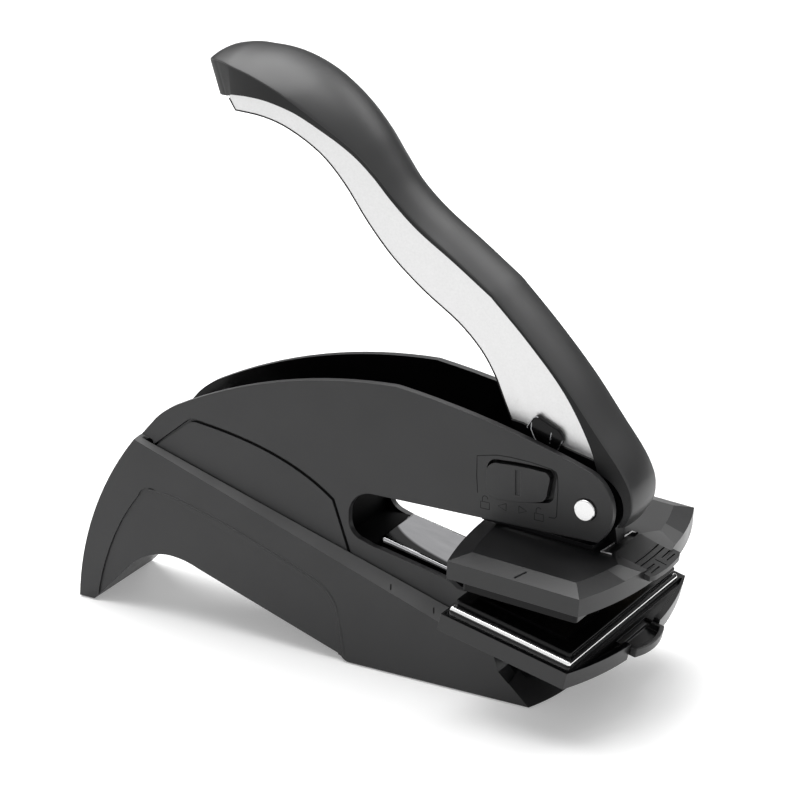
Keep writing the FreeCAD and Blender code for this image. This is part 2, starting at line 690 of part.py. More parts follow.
def release_catch():
    """Finger catch below the tray's front edge, hollowed for the fingertip."""
    body = new_body("release_catch", LOWER)
    half = size("catch_half")
    low = -size("catch_low")
    thick = size("catch_thick")
    tray_front = size("tray_side") + size("tray_bulge")
    front = tray_front + size("catch_reach")
    plate = path((CATCH_REAR, -half), [
        (front - 1.6, -half), ("arc", (front, 0), (front - 1.6, half)), (CATCH_REAR, half)])
    add(body, FLAT, plate, low + thick / 2, named("catch_thick"))
    seat = tray_front - size("catch_seat")
    rise = size("catch_rise")
    rim = path((seat, -half), [
        (front - 1.6, -half), ("arc", (front, 0), (front - 1.6, half)), (seat, half)])
    add(body, FLAT, rim, low + thick + rise / 2, named("catch_rise"))
    bowl = path((seat - 1.0, -half + 1.4), [
        (front - 2.6, -half + 1.4), ("arc", (front - 1.2, 0), (front - 2.6, half - 1.4)),
        (seat - 1.0, half - 1.4)])
    cut(body, FLAT, bowl, low + thick + rise, 2 * (rise + 0.8))
    fork = box_path(CATCH_REAR - 1, CATCH_REAR + 3.0, -half + 2.0, half - 2.0)
    cut(body, FLAT, fork, low + thick / 2, 2 * thick)


# ------------------------------------------------------------- upper jaw
def scoop(body, root, up):
    """Shallow finger scoop: a big cylinder laid along the slope of the grip."""
    slope = size("grip_slope")
    deep = 1.6
    radius = size("scoop_half") ** 2 / (2 * deep)
    groove = body.newObject("PartDesign::SubtractiveCylinder", body.Label + "_scoop")
    groove.Radius = radius
    groove.Height = 2 * size("carrier_side")
    lean = Rotation(Vector(0, 1, 0), slope)
    start = Vector(root, 0, up) + lean.multVec(Vector(0, 0, radius))
    groove.Placement = Placement(start, Rotation(Vector(0, 1, 0), 90.0 + slope))
    DOC.recompute()


def upper_carrier():
    """Moulded upper jaw with chamfered edges and a finger grip."""
    body = new_body("upper_carrier", UPPER)
    deep = size("carrier_deep")
    up = size("chamfer_up")
    outline = jaw_outline(size("carrier_half"), size("carrier_side"), size("front_bulge"),
                          size("rear_bulge"))
    block = add(body, FLAT, outline, (up - deep) / 2, deep + up)
    names = []
    for index, edge in enumerate(block.Shape.Edges):
        if edge.BoundBox.ZMin > up - 1e-6:
            names.append("Edge%d" % (index + 1))
    chamfer = body.newObject("PartDesign::Chamfer", "carrier_chamfer")
    chamfer.Base = (block, names)
    chamfer.ChamferType = "Two distances"
    chamfer.FlipDirection = True
    chamfer.setExpression("Size", named("chamfer_in"))
    chamfer.setExpression("Size2", named("chamfer_up"))
    DOC.recompute()
    rim = size("carrier_side") + size("front_bulge")
    front = rim + size("grip_reach")
    tip = -size("grip_drop")
    fall = tan_deg(size("grip_slope"))
    root = front - (up - tip) / fall
    side_view = path((rim - 7.0, tip + (front - rim + 7.0) * fall), [
        (front, tip), (front, tip - size("grip_thick")),
        (rim - 1.5, tip - size("grip_thick") + 0.4), (rim - 7.0, -1.0)])
    add(body, UPRIGHT, side_view, 0, 2 * size("grip_half"))
    half = size("grip_half") + 1.0
    outside = path((front - 1.9, -half), [
        ("arc", (front - 0.6, -half + 2.4), (front - 0.3, -half + 4.6)),
        ("arc", (front, 0), (front - 0.3, half - 4.6)),
        ("arc", (front - 0.6, half - 2.4), (front - 1.9, half)),
        (front + 5.0, half), (front + 5.0, -half)])
    cut(body, FLAT, outside, tip, 20.0)
    scoop(body, root, up)
    across_lines = [(rim - 4.2, -7.0, 7.0), (rim - 2.5, -7.0, 7.0), (rim - 0.7, -7.0, -2.2),
                    (rim - 0.7, 2.2, 7.0), (rim + 0.8, -7.0, -2.2), (rim + 0.8, 2.2, 7.0)]
    turn = Placement(Vector(front, 0, tip), Rotation(Vector(0, 1, 0), size("grip_slope")))
    for place, y_low, y_high in across_lines:
        line = box_path(place - front - 0.2, place - front + 0.2, y_low, y_high)
        cut(body, FLAT, line, 0.3, 2 * 0.5, turn)
    cut(body, FLAT, box_path(-4.2, -0.8, -0.2, 0.2), 0.3, 2 * 0.5, turn)
    room = size("insert_start") - 0.9
    plate = box_path(room, size("insert_end") - 1.1, -size("insert_half") + 0.3, size("insert_half") - 0.3)
    cut(body, FLAT, plate, -deep, "2 * " + named("plate_thick"))
    slot = rounded_box(31.6, 34.2, -8.0, 8.0, 1.1)
    cut(body, FLAT, slot, up, 2 * 1.0)
    for u, y in ARM_SCREWS:
        cut(body, FLAT, circle_path(u, y, size("small_screw") / 2 + RUN), up, 2 * 4.4)


ARM_SCREWS = [(u, y) for u in (4.5, 12.0) for y in (-3.8, 3.8)]


def roller_centre(turn):
    """Roller centre when the handle has turned by turn degrees from open."""
    angle = math.radians(-90.0 - size("lever_travel") + turn)
    arm = size("roller_arm")
    return arm * math.cos(angle), PIN_Z + arm * math.sin(angle)


def seen_from_jaw(point, turn):
    """The same point in the open jaw's frame, while the jaw follows the handle."""
    share = (size("lower_pitch") - size("upper_pitch")) / size("lever_travel")
    angle = math.radians(turn * share)
    dx = point[0] - JAW_X
    dz = point[1] - JAW_Z
    return (JAW_X + dx * math.cos(angle) - dz * math.sin(angle),
            JAW_Z + dx * math.sin(angle) + dz * math.cos(angle))


def ramp_points():
    """Cam ramp: the roller's path in the jaw, moved out by its radius."""
    steps = 7
    centres = []
    for i in range(steps):
        turn = size("lever_travel") * i / (steps - 1)
        centres.append(seen_from_jaw(roller_centre(turn), turn))
    reach = size("roller_radius") + size("cam_gap")
    points = []
    for i, (x, z) in enumerate(centres):
        before = centres[max(i - 1, 0)]
        after = centres[min(i + 1, steps - 1)]
        slope = math.atan2(after[1] - before[1], after[0] - before[0])
        points.append((x + reach * math.sin(slope), z - reach * math.cos(slope)))
    return points


def jaw_arm():
    """Steel arm of the upper jaw: ears on the jaw pin, bed plate, tail and cam ramp."""
    body = new_body("jaw_arm")
    half = size("arm_half")
    ear = size("arm_ear")
    up = size("chamfer_up")
    top = up + size("arm_bed")
    front = 1.0
    bed = path((-31.5, above_carrier(-31.5, up)), [
        (front, above_carrier(front, up)), (front, above_carrier(front, top)),
        (-31.5, above_carrier(-31.5, top))])
    add(body, UPRIGHT, bed, 0, 2 * half)
    head = size("jaw_pin_diameter") / 2 + 2.0
    side = path((JAW_X - head, JAW_Z), [
        ("arc", (JAW_X, JAW_Z + head), (JAW_X + head, JAW_Z)),
        (-25.0, above_carrier(-25.0, top + 1.6)), (-25.0, above_carrier(-25.0, up + 0.2)),
        (-31.5, above_carrier(-31.5, up + 0.2)), (JAW_X, JAW_Z - head),
        ("arc", (JAW_X - 0.7 * head, JAW_Z - 0.7 * head), (JAW_X - head, JAW_Z))])
    for way in (RIGHT, LEFT):
        add(body, UPRIGHT, side, level_y(way * (half - ear / 2)), named("arm_ear"))
    tail = -size("spring_at") - 3.2
    spring_seat = JAW_Z + 2.9
    strip = path((tail, spring_seat - 1.6), [
        (JAW_X - 2.4, spring_seat - 1.6), (JAW_X - 2.4, spring_seat), (tail, spring_seat)])
    add(body, UPRIGHT, strip, 0, 2 * half)
    window = box_path(-12.0, -1.5, -6.2, 6.2)
    cut(body, FLAT, window, above_carrier(-6.0, up), 10.0)
    points = ramp_points()
    crest = points[-1]
    ramp = path((points[0][0], above_carrier(points[0][0], up)), [
        points[0], ("curve", points[1:]),
        (crest[0] + 0.7, crest[1] - 0.2),
        (crest[0] + 1.6, above_carrier(crest[0] + 1.6, up + 1.0)),
        (crest[0] + 1.6, above_carrier(crest[0] + 1.6, up))])
    add(body, UPRIGHT, ramp, 0, 2 * (size("roller_half") - 0.2))
    bore = size("jaw_pin_diameter") / 2 + RUN
    cut(body, UPRIGHT, circle_path(JAW_X, JAW_Z, bore), 0, ACROSS)
    for u, y in ARM_SCREWS:
        x = UPPER.multVec(Vector(u, y, up)).x
        cut(body, FLAT, circle_path(x, y, size("small_screw") / 2 + 2 * RUN),
            above_carrier(x, up), 6.0)


# ------------------------------------------------------------------ lever
# Handle cover: top line x and z, crease half width, crown, skirt half width, depth
COVER = [
    (-116.8, 157.5, 3.5, 0.6, 3.5, 9.2),
    (-115.2, 159.8, 6.6, 2.9, 6.5, 10.2),
    (-111.7, 161.4, 9.4, 3.9, 9.2, 10.6),
    (-105.3, 162.2, 11.8, 4.2, 11.6, 9.6),
    (-96.0, 161.8, 13.4, 4.8, 13.2, 8.8),
    (-88.2, 159.8, 14.0, 4.9, 13.8, 8.2),
    (-80.9, 156.7, 13.7, 4.8, 13.5, 7.4),
    (-72.8, 151.0, 12.5, 4.5, 12.3, 6.4),
    (-66.2, 144.3, 10.5, 3.4, 10.4, 5.0),
    (-61.3, 137.7, 8.9, 2.5, 8.9, 3.9),
    (-56.4, 131.2, 8.1, 1.9, 8.2, 3.3),
    (-49.7, 124.8, 8.1, 1.5, 8.1, 2.9),
    (-39.3, 117.5, 8.1, 1.3, 8.1, 2.5),
    (-28.4, 109.7, 8.1, 1.2, 8.1, 2.3),
    (-17.7, 99.2, 8.0, 1.1, 8.1, 2.2),
    (-6.9, 87.4, 7.9, 1.0, 8.2, 2.4),
    (1.8, 76.2, 7.8, 0.9, 8.3, 4.2),
    (7.9, 68.4, 7.6, 0.9, 8.3, 7.6),
    (10.7, 63.2, 7.3, 0.8, 8.3, 8.4),
    (11.4, 59.6, 7.1, 0.7, 8.2, 8.0),
    (10.9, 55.4, 6.8, 0.6, 8.1, 6.4),
    (8.2, 50.8, 6.5, 0.5, 7.9, 3.2),
]


def cover_normal(index):
    before = COVER[max(index - 1, 0)]
    after = COVER[min(index + 1, len(COVER) - 1)]
    along_x = after[0] - before[0]
    along_z = after[1] - before[1]
    length = math.hypot(along_x, along_z)
    return -along_z / length, along_x / length


def plate_top(index):
    """Upper edge of the lever plates at a station, lapped by the cover's skirt."""
    x, z = COVER[index][0], COVER[index][1]
    out_x, out_z = cover_normal(index)
    below = COVER[index][5] - 0.8
    return x - below * out_x, z - below * out_z


def plate_edges():
    """Outline of the lever plates; the handle cover sits on the upper edge."""
    hub = size("hub_radius")
    front_angle = math.radians(55)
    rear_angle = math.radians(-130)
    front = (hub * math.cos(front_angle), PIN_Z + hub * math.sin(front_angle))
    rear = (hub * math.cos(rear_angle), PIN_Z + hub * math.sin(rear_angle))
    bottom = (hub * math.cos(math.radians(-35)), PIN_Z + hub * math.sin(math.radians(-35)))
    return path((-108.1, 149.8), [
        plate_top(3),
        ("curve", [plate_top(i) for i in range(4, 17)]),
        (2.5, 67.2),
        front,
        ("arc", bottom, rear),
        (-13.5, 62.0), (-21.8, 70.5),
        ("curve", [(-26.7, 81.1), (-29.2, 86.8), (-33.3, 93.0), (-39.9, 99.3), (-49.8, 106.0),
                   (-58.9, 113.5), (-66.4, 121.9), (-73.4, 131.4), (-80.5, 138.4),
                   (-89.7, 143.5), (-97.7, 145.7), (-106.0, 146.2)])])


def lever_plate(side):
    body = new_body(SIDE_NAME[side] + "_lever_plate")
    middle = level_y(side * (size("plate_out") - size("lever_sheet") / 2))
    add(body, UPRIGHT, plate_edges(), middle, named("lever_sheet"))
    bore = size("pin_diameter") / 2 + RUN
    cut(body, UPRIGHT, circle_path(0, PIN_Z, bore), middle, ACROSS / 10)


def lever_hub():
    """Hub between the lever plates, forked below for the roller."""
    body = new_body("lever_hub")
    wide = 2 * (size("plate_out") - size("lever_sheet"))
    core = size("boss_radius")
    add(body, UPRIGHT, circle_path(0, PIN_Z, core), 0, wide)
    web = path((-4.6, PIN_Z + 3.0), [
        (-15.5, 74.0), (-13.0, 81.0), (-7.2, 78.0), (-1.2, 67.6), (4.6, PIN_Z + 3.0)])
    add(body, UPRIGHT, web, 0, wide)
    x, z = roller_centre(0.0)
    lobe = size("roller_pin_diameter") / 2 + 1.1
    away = math.radians(-90.0 - size("lever_travel"))
    side_x, side_z = -math.sin(away), math.cos(away)
    cheek = path((x + lobe * side_x, z + lobe * side_z), [
        ("arc", (x + lobe * math.cos(away), z + lobe * math.sin(away)),
         (x - lobe * side_x, z - lobe * side_z)),
        (-4.2 * side_x, PIN_Z - 4.2 * side_z), (4.2 * side_x, PIN_Z + 4.2 * side_z)])
    inner = size("cheek_inner")
    thick = wide / 2 - inner
    for way in (RIGHT, LEFT):
        add(body, UPRIGHT, cheek, level_y(way * (inner + thick / 2)), thick)
    cut(body, UPRIGHT, circle_path(0, PIN_Z, size("pin_diameter") / 2 + RUN), 0, ACROSS)
    cut(body, UPRIGHT, circle_path(x, z, size("roller_pin_diameter") / 2 + RUN), 0, ACROSS)


def section(index, corners):
    """Closed section at a station; corners are (across, outwards) from its top line."""
    x, z = COVER[index][0], COVER[index][1]
    out_x, out_z = cover_normal(index)
    points = [Vector(x + out * out_x, y, z + out * out_z) for y, out in corners]
    return Part.makePolygon(points + [points[0]])


def outer_section(index):
    x, z, crease, crown, skirt, depth = COVER[index]
    half = [(skirt, -depth), (crease, -crown), (0.74 * crease, -0.5 * crown),
            (0.4 * crease, -0.13 * crown)]
    return section(index, half + [(0.0, 0.0)] + [(-y, out) for y, out in reversed(half)])


def inner_section(index):
    x, z, crease, crown, skirt, depth = COVER[index]
    wall = size("cover_wall")
    half = [(skirt - wall, -depth - 4.0), (crease - wall, -crown - wall)]
    return section(index, half + [(-y, out) for y, out in reversed(half)])


def handle_cover():
    outer = Part.makeLoft([outer_section(i) for i in range(len(COVER))], True, True)
    inner = Part.makeLoft([inner_section(i) for i in range(2, 10)], True, True)
    out = size("plate_out")
    shape = outer.cut(inner).cut(prism(plate_edges(), -out, out))
    shape = shape.cut(across(0, PIN_Z, size("hub_radius") + GAP, 12.0))
    biggest = max(shape.Solids, key=lambda solid: solid.Volume)
    free_part("handle_cover", biggest)
    return biggest


def lug_edges(grow):
    """Hook of the lock lug; grow widens it for the seat in the hub cap."""
    return path((-18.9 - grow, 74.9), [
        (-17.1 - grow, 77.6 + grow), ("arc", (-16.5, 78.1 + grow), (-15.7, 78.0 + grow)),
        (-10.9 + grow, 75.8 + grow), ("arc", (-9.2 + grow, 74.6), (-8.6 + grow, 72.6)),
        (-10.3 + grow, 69.3 - grow)])


def hub_caps(cover):
    """Moulded caps over the hub end of the lever plates, open round the washers."""
    hub = size("hub_radius")
    front = (hub * math.cos(math.radians(55)), PIN_Z + hub * math.sin(math.radians(55)))
    rear = (hub * math.cos(math.radians(-130)), PIN_Z + hub * math.sin(math.radians(-130)))
    outline = path((-24.0, 75.5), [
        (-20.6, 75.1), (-9.4, 70.9), (-0.4, 68.8), (2.5, 67.2), front,
        ("arc", (hub * math.cos(math.radians(-35)), PIN_Z + hub * math.sin(math.radians(-35))), rear),
        (-13.5, 62.0), (-21.8, 70.5)])
    inner = size("plate_out")
    outer = inner + size("cap_thick")
    hole = across(0, PIN_Z, size("washer_radius") + GAP, 20.0)
    solids = []
    for side in (RIGHT, LEFT):
        cap = prism(outline, min(side * inner, side * outer), max(side * inner, side * outer))
        cap = cap.cut(hole).cut(cover)
        if side == RIGHT:
            cap = cap.cut(prism(lug_edges(RUN), -20.0, 0.0))
        solids.append(max(cap.Solids, key=lambda solid: solid.Volume))
    free_part("hub_caps", Part.makeCompound(solids))


def lever_spacers():
    solids = []
    half = size("plate_out") - size("lever_sheet")
    for x, z in ((-98.0, 150.6), (-70.0, 132.0), (-36.0, 105.0)):
        solids.append(across(x, z, 2.0, half))
    free_part("lever_spacers", Part.makeCompound(solids))


def lock_lug():
    body = new_body("lock_lug")
    proud = size("lug_proud")
    middle = level_y(RIGHT * (size("plate_out") + proud / 2))
    add(body, UPRIGHT, lug_edges(0.0), middle, named("lug_proud"))


# ----------------------------------------------------- pins, small pieces
def lock_button():
    """Sliding lock button in the window of the right wall, with its slide plate."""
    body = new_body("lock_button")
    plate_out = WALL_IN - 2 * RUN
    plate_in = plate_out - size("slide_thick")
    plate = rounded_box(-30.6, -7.9, 54.2, 67.0, 2.0)
    add(body, UPRIGHT, plate, level_y(RIGHT * (plate_out + plate_in) / 2), named("slide_thick"))
    top = WALL_OUT + size("button_proud")
    face = window_edges(0.8, size("button_travel") + GAP)
    add(body, UPRIGHT, face, level_y(RIGHT * (top + plate_out) / 2), top - plate_out)
    ridge = box_path(-19.8, -18.4, 57.4, 64.0)
    cut(body, UPRIGHT, ridge, level_y(RIGHT * top), 2 * 0.4)
    catch = size("plate_out") + size("lug_proud") + GAP
    add(body, UPRIGHT, circle_path(-24.0, 62.6, 1.2), level_y(RIGHT * (plate_out + catch) / 2),
        plate_out - catch)


def pins():
    bore = size("pin_diameter") / 2
    free_part("handle_pin", across(0, PIN_Z, bore, WALL_OUT + size("pin_proud")))
    jaw = size("jaw_pin_diameter") / 2
    reach = WALL_IN + size("wall_thick") / 2 - RUN
    free_part("jaw_pin", across(JAW_X, JAW_Z, jaw, reach))
    x, z = roller_centre(0.0)
    roller_bore = size("roller_pin_diameter") / 2
    free_part("roller_pin", across(x, z, roller_bore, size("plate_out") - size("lever_sheet") - 0.1))
    roller = across(x, z, size("roller_radius"), size("roller_half"))
    free_part("cam_roller", roller.cut(across(x, z, roller_bore + RUN, 10.0)))
    free_part("spring_bar", across(-size("spring_at"), size("bar_height"), size("bar_diameter") / 2, WALL_IN))
    ring = across(0, PIN_Z, size("washer_radius"), WALL_IN).cut(across(0, PIN_Z, bore + RUN, 20.0))
    middle = across(0, PIN_Z, 20.0, size("plate_out") + 2 * RUN)
    free_part("pivot_washers", Part.makeCompound(ring.cut(middle).Solids))


def return_spring():
    """Compression spring between the jaw arm's tail and the spring bar."""
    low = JAW_Z + 2.9
    high = size("bar_height") - size("bar_diameter") / 2
    wire = size("wire")
    tall = high - low - wire
    coil = Part.makeHelix(tall / 3.5, tall, size("spring_radius"))
    profile = Part.Wire([Part.makeCircle(wire / 2, Vector(size("spring_radius"), 0, 0), Vector(0, 1, 0))])
    solid = Part.Wire(coil.Edges).makePipeShell([profile], True, True)
    seat = Placement(Vector(-size("spring_at"), 0, low + wire / 2), Rotation())
    free_part("return_spring", solid.transformed(seat.toMatrix(), True))


# ------------------------------------------------------------------ build
for wall_side in (RIGHT, LEFT):
    side_wall(wall_side)
    base_shell(wall_side)
    lever_plate(wall_side)
foot_pads()
frame_screws()
throat_block()
frame_spacers()
channel_floor()
anvil_bar()
lower_tray()
lower_die_plate()
PLATE_TOP = size("plate_thick")
FRAME_TOP = PLATE_TOP + size("frame_thick")
INSET = size("frame_inset")
LOWER_MIDDLE = die_frame("lower_die_frame", LOWER, size("plate_start") + INSET,
                         size("plate_start") + size("plate_deep") - INSET,
                         size("plate_half") - INSET, PLATE_TOP, FRAME_TOP)
die("lower_die", LOWER, LOWER_MIDDLE, PLATE_TOP, FRAME_TOP + size("relief"))
TRAY_LOW = -size("tray_thick")
jaw_screws("tray_screws", LOWER, JAW_SCREWS, TRAY_LOW + 0.2, TRAY_LOW + 1.5, TRAY_LOW + 1.4, 0.9)
release_catch()
upper_carrier()
jaw_arm()
DEEP = size("carrier_deep")
upper_plate = new_body("upper_die_plate", UPPER)
add(upper_plate, FLAT, box_path(size("insert_start") - 0.6, size("insert_end") - 1.4,
                                -size("insert_half") + 0.6, size("insert_half") - 0.6),
    -DEEP + PLATE_TOP / 2, named("plate_thick"))
UPPER_LOW = -DEEP - size("insert_deep")
UPPER_MIDDLE = die_frame("upper_die_frame", UPPER, size("insert_start"), size("insert_end"),
                         size("insert_half"), UPPER_LOW, -DEEP)
die("upper_die", UPPER, UPPER_MIDDLE, -DEEP, UPPER_LOW - size("relief"))
BED_TOP = size("chamfer_up") + size("arm_bed")
jaw_screws("arm_screws", UPPER, ARM_SCREWS, BED_TOP, BED_TOP + 1.3, -1.6, BED_TOP + 0.1)
lever_hub()
hub_caps(handle_cover())
lever_spacers()
lock_lug()
lock_button()
pins()
return_spring()

# ------------------------------------------------------------ check, save
DOC.recompute()
os.makedirs("parts", exist_ok=True)
for item in DOC.Objects:
    if "Invalid" in item.State or "Error" in item.State:
        raise ValueError("not built: %s %s" % (item.Label, item.State))
for item in SUBPARTS:
    shape = item.Shape
    if shape.isNull() or not shape.isValid() or not shape.Solids:
        raise ValueError("bad solid: " + item.Label)
    shape.exportStep("parts/%s.step" % item.Label)
print("sub-parts:", len(SUBPARTS))
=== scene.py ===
"""Seal embosser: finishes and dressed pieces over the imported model, with floor, lights and camera."""

import json
from math import cos, hypot, radians, sin, sqrt

import bmesh
import bpy
from mathutils import Matrix, Vector


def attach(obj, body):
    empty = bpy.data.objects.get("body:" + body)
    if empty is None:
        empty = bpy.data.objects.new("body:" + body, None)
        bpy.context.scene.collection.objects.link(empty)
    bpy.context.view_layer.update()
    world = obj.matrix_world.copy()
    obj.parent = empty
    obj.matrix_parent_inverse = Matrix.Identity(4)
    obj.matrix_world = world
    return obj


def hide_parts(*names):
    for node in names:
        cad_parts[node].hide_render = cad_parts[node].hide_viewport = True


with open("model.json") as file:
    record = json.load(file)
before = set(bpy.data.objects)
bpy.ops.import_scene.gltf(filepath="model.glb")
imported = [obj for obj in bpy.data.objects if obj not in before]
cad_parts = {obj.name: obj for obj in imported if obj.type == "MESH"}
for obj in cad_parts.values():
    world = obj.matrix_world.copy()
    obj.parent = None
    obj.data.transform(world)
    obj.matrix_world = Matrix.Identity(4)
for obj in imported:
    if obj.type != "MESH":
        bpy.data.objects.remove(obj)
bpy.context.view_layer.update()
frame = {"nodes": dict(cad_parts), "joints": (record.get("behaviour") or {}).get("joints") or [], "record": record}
scene = bpy.context.scene
NODES = frame["nodes"]
JOINTS = {joint["name"]: joint for joint in frame["joints"]}

# ------------------------------------------------------------------- places
MM = 0.001
PIN_X = JOINTS["handle_hinge"]["pos_m"][0]
RIGHT = -1
WALL_OUT_MM = 12.1


def at(x, y, z):
    """Point from millimetres ahead of the handle pin, across, and above the desk."""
    return Vector((PIN_X + x * MM, y * MM, z * MM))


def through(points, steps=4):
    """Smooth line through the points, with that many steps between each two."""
    ends = [points[0], *points, points[-1]]
    line = []
    for before, here, ahead, after in zip(ends, ends[1:], ends[2:], ends[3:]):
        for step in range(steps):
            t = step / steps
            line.append(tuple(
                0.5 * (2 * b + (c - a) * t + (2 * a - 5 * b + 4 * c - d) * t * t
                       + (3 * b - a - 3 * c + d) * t ** 3)
                for a, b, c, d in zip(before, here, ahead, after)))
    return line + [points[-1]]


# ---------------------------------------------------------------- materials
def linear(hex_colour):
    """sRGB hex colour as a linear colour."""
    parts = [int(hex_colour[i:i + 2], 16) / 255 for i in (0, 2, 4)]
    return [part / 12.92 if part <= 0.04045 else ((part + 0.055) / 1.055) ** 2.4
            for part in parts] + [1.0]


def add_node(tree, kind, inputs=None, **settings):
    """Adds a shader node; inputs maps its sockets to values or to the sockets that feed them."""
    node = tree.nodes.new(kind)
    for name, value in settings.items():
        setattr(node, name, value)
    for socket, value in (inputs or {}).items():
        if isinstance(value, bpy.types.NodeSocket):
            tree.links.new(value, node.inputs[socket])
        else:
            node.inputs[socket].default_value = value
    return node


def new_material(name):
    material = bpy.data.materials.new(name)
    material.use_nodes = True
    material.node_tree.nodes.clear()
    return material, material.node_tree


def finish_surface(tree, shader):
    add_node(tree, "ShaderNodeOutputMaterial", {"Surface": shader.outputs[0]})


def place_in_mm(tree):
    """The piece's own place, in millimetres."""
    place = add_node(tree, "ShaderNodeTexCoord")
    return add_node(tree, "ShaderNodeVectorMath", {0: place.outputs["Object"], 1: (1000, 1000, 1000)},
                    operation="MULTIPLY").outputs[0]


def grain(tree, place, size_mm, detail=2.0):
    """Noise whose grains are about size_mm across."""
    return add_node(tree, "ShaderNodeTexNoise", {
        "Vector": place, "Scale": 1.0 / size_mm, "Detail": detail})


def spread(tree, value, low, high):
    """Noise value stretched to the range low to high."""
    return add_node(tree, "ShaderNodeMapRange", {"Value": value, "From Min": 0.3, "From Max": 0.7,
                                                 "To Min": low, "To Max": high}).outputs[0]


def two_tone(tree, factor, dark, light):
    return add_node(tree, "ShaderNodeMix", {"Factor": factor, "A": linear(dark), "B": linear(light)},
                    data_type="RGBA").outputs["Result"]


def bumps(tree, height, depth_mm):
    return add_node(tree, "ShaderNodeBump", {
        "Height": height, "Distance": depth_mm * MM, "Strength": 1.0})


SHEEN_PATCH_MM = 14.0


def moulded_plastic(name, dark, light, grain_mm, depth_mm, rough_low, rough_high, gloss=0.5,
                    ior=1.5):
    """Dull solid: its tool's texture gives a grain, and handling gives soft changes in its sheen."""
    material, tree = new_material(name)
    place = place_in_mm(tree)
    fine = grain(tree, place, grain_mm)
    broad = grain(tree, place, SHEEN_PATCH_MM, 4.0)
    shader = add_node(tree, "ShaderNodeBsdfPrincipled", {
        "Base Color": two_tone(tree, broad.outputs["Fac"], dark, light),
        "Roughness": spread(tree, broad.outputs["Fac"], rough_low, rough_high),
        "Normal": bumps(tree, fine.outputs["Fac"], depth_mm).outputs[0],
        "IOR": ior, "Specular IOR Level": gloss})
    finish_surface(tree, shader)
    return material


# Edge of the painted dark reflection on the anvil bar: it runs across at y = rise * exp(-(x - start) / run) -
# base, all in mm
REFLECTION_START_MM, REFLECTION_RUN_MM, REFLECTION_RISE_MM, REFLECTION_BASE_MM = 0.86, 7.0, 14.6, 7.0
BAR_RIM_MM = (-8.5, -8.3)


def painted_reflection_mask(tree, place):
    """1 where the anvil bar is painted near-black as the reflection of the dark inside of the press: all but its
    far side.
    """
    parts = add_node(tree, "ShaderNodeSeparateXYZ", {"Vector": place}).outputs
    back = add_node(tree, "ShaderNodeMath", {
        0: parts["X"], 1: -1.0 / REFLECTION_RUN_MM, 2: REFLECTION_START_MM / REFLECTION_RUN_MM},
        operation="MULTIPLY_ADD").outputs[0]
    falling = add_node(tree, "ShaderNodeMath", {0: back}, operation="EXPONENT").outputs[0]
    edge = add_node(tree, "ShaderNodeMath", {0: falling, 1: REFLECTION_RISE_MM, 2: -REFLECTION_BASE_MM},
                    operation="MULTIPLY_ADD").outputs[0]
    inside = add_node(tree, "ShaderNodeMath", {0: edge, 1: parts["Y"]}, operation="SUBTRACT").outputs[0]
    near = add_node(tree, "ShaderNodeMapRange", {
        "Value": inside, "From Min": -0.5, "From Max": 0.5}).outputs[0]
    rim = add_node(tree, "ShaderNodeMapRange", {
        "Value": parts["Y"], "From Min": BAR_RIM_MM[0], "From Max": BAR_RIM_MM[1]}).outputs[0]
    return add_node(tree, "ShaderNodeMath", {0: near, 1: rim}, operation="MULTIPLY").outputs[0]


def plated_steel(name, dark, light, rough, grain_mm, stretch, depth_mm=0.004, painted_reflection=False):
    """Bare or plated metal whose fine rolling lines show in its sheen."""
    material, tree = new_material(name)
    place = place_in_mm(tree)
    along = add_node(tree, "ShaderNodeVectorMath", {0: place, 1: stretch}, operation="MULTIPLY").outputs[0]
    lines = grain(tree, along, grain_mm, 3.0)
    colour = two_tone(tree, lines.outputs["Fac"], dark, light)
    if painted_reflection:
        # painted reflection: near-black where the bar mirrors the dark inside of the press
        colour = add_node(tree, "ShaderNodeMix", {
            "Factor": painted_reflection_mask(tree, place), "A": colour, "B": linear("141415")},
            data_type="RGBA").outputs["Result"]
    shader = add_node(tree, "ShaderNodeBsdfPrincipled", {
        "Base Color": colour,
        "Metallic": 1.0,
        "Roughness": spread(tree, lines.outputs["Fac"], rough * 0.8, rough * 1.2),
        "Normal": bumps(tree, lines.outputs["Fac"], depth_mm).outputs[0]})
    finish_surface(tree, shader)
    return material


# ABS from a spark-eroded tool: a satin, even dark grey with a fine grain (drawn 0.5 mm to show)
eroded_abs = moulded_plastic("eroded_abs", "1a1a1b", "1f1f20", 0.5, 0.010, 0.38, 0.48, 0.45)
# ABS from a polished tool: deep gloss black of the die frames, channel floor, lug and hub caps; on the inner faces
# of walls and shells and on the tray floor its darker colour is painted shade
gloss_black_and_shade_abs = moulded_plastic("gloss_black_and_shade_abs", "060607", "0a0a0b", 3.0, 0.002, 0.12, 0.22, 0.16)
# ABS from a coarse-blasted tool, near-black and with a low IOR that damps its reflections: painted shade in the
# throat, where no light is wanted back
throat_shade_abs = moulded_plastic("throat_shade_abs", "040405", "070708", 0.8, 0.008, 0.55, 0.65, 0.5, 1.12)
# ABS from a fine-stoned tool: semi-gloss black jaws
stoned_abs = moulded_plastic("stoned_abs", "101011", "151516", 0.6, 0.006, 0.30, 0.38, 0.46)
# soft-touch painted ABS handle cover: broad soft highlights
soft_touch_abs = moulded_plastic("soft_touch_abs", "151516", "19191a", 0.5, 0.004, 0.40, 0.46, 0.55)
# duller, darker ABS: the pad of the upper jaw, and the skirt and end faces of the handle cover, where its darker
# colour is painted shade
skirt_shade_and_pad_abs = moulded_plastic("skirt_shade_and_pad_abs", "0a0a0b", "0f0f10", 0.5, 0.006, 0.50, 0.60, 0.30)
# acetal spacers and washers
acetal = moulded_plastic("acetal", "151516", "1b1b1c", 0.8, 0.004, 0.30, 0.40)
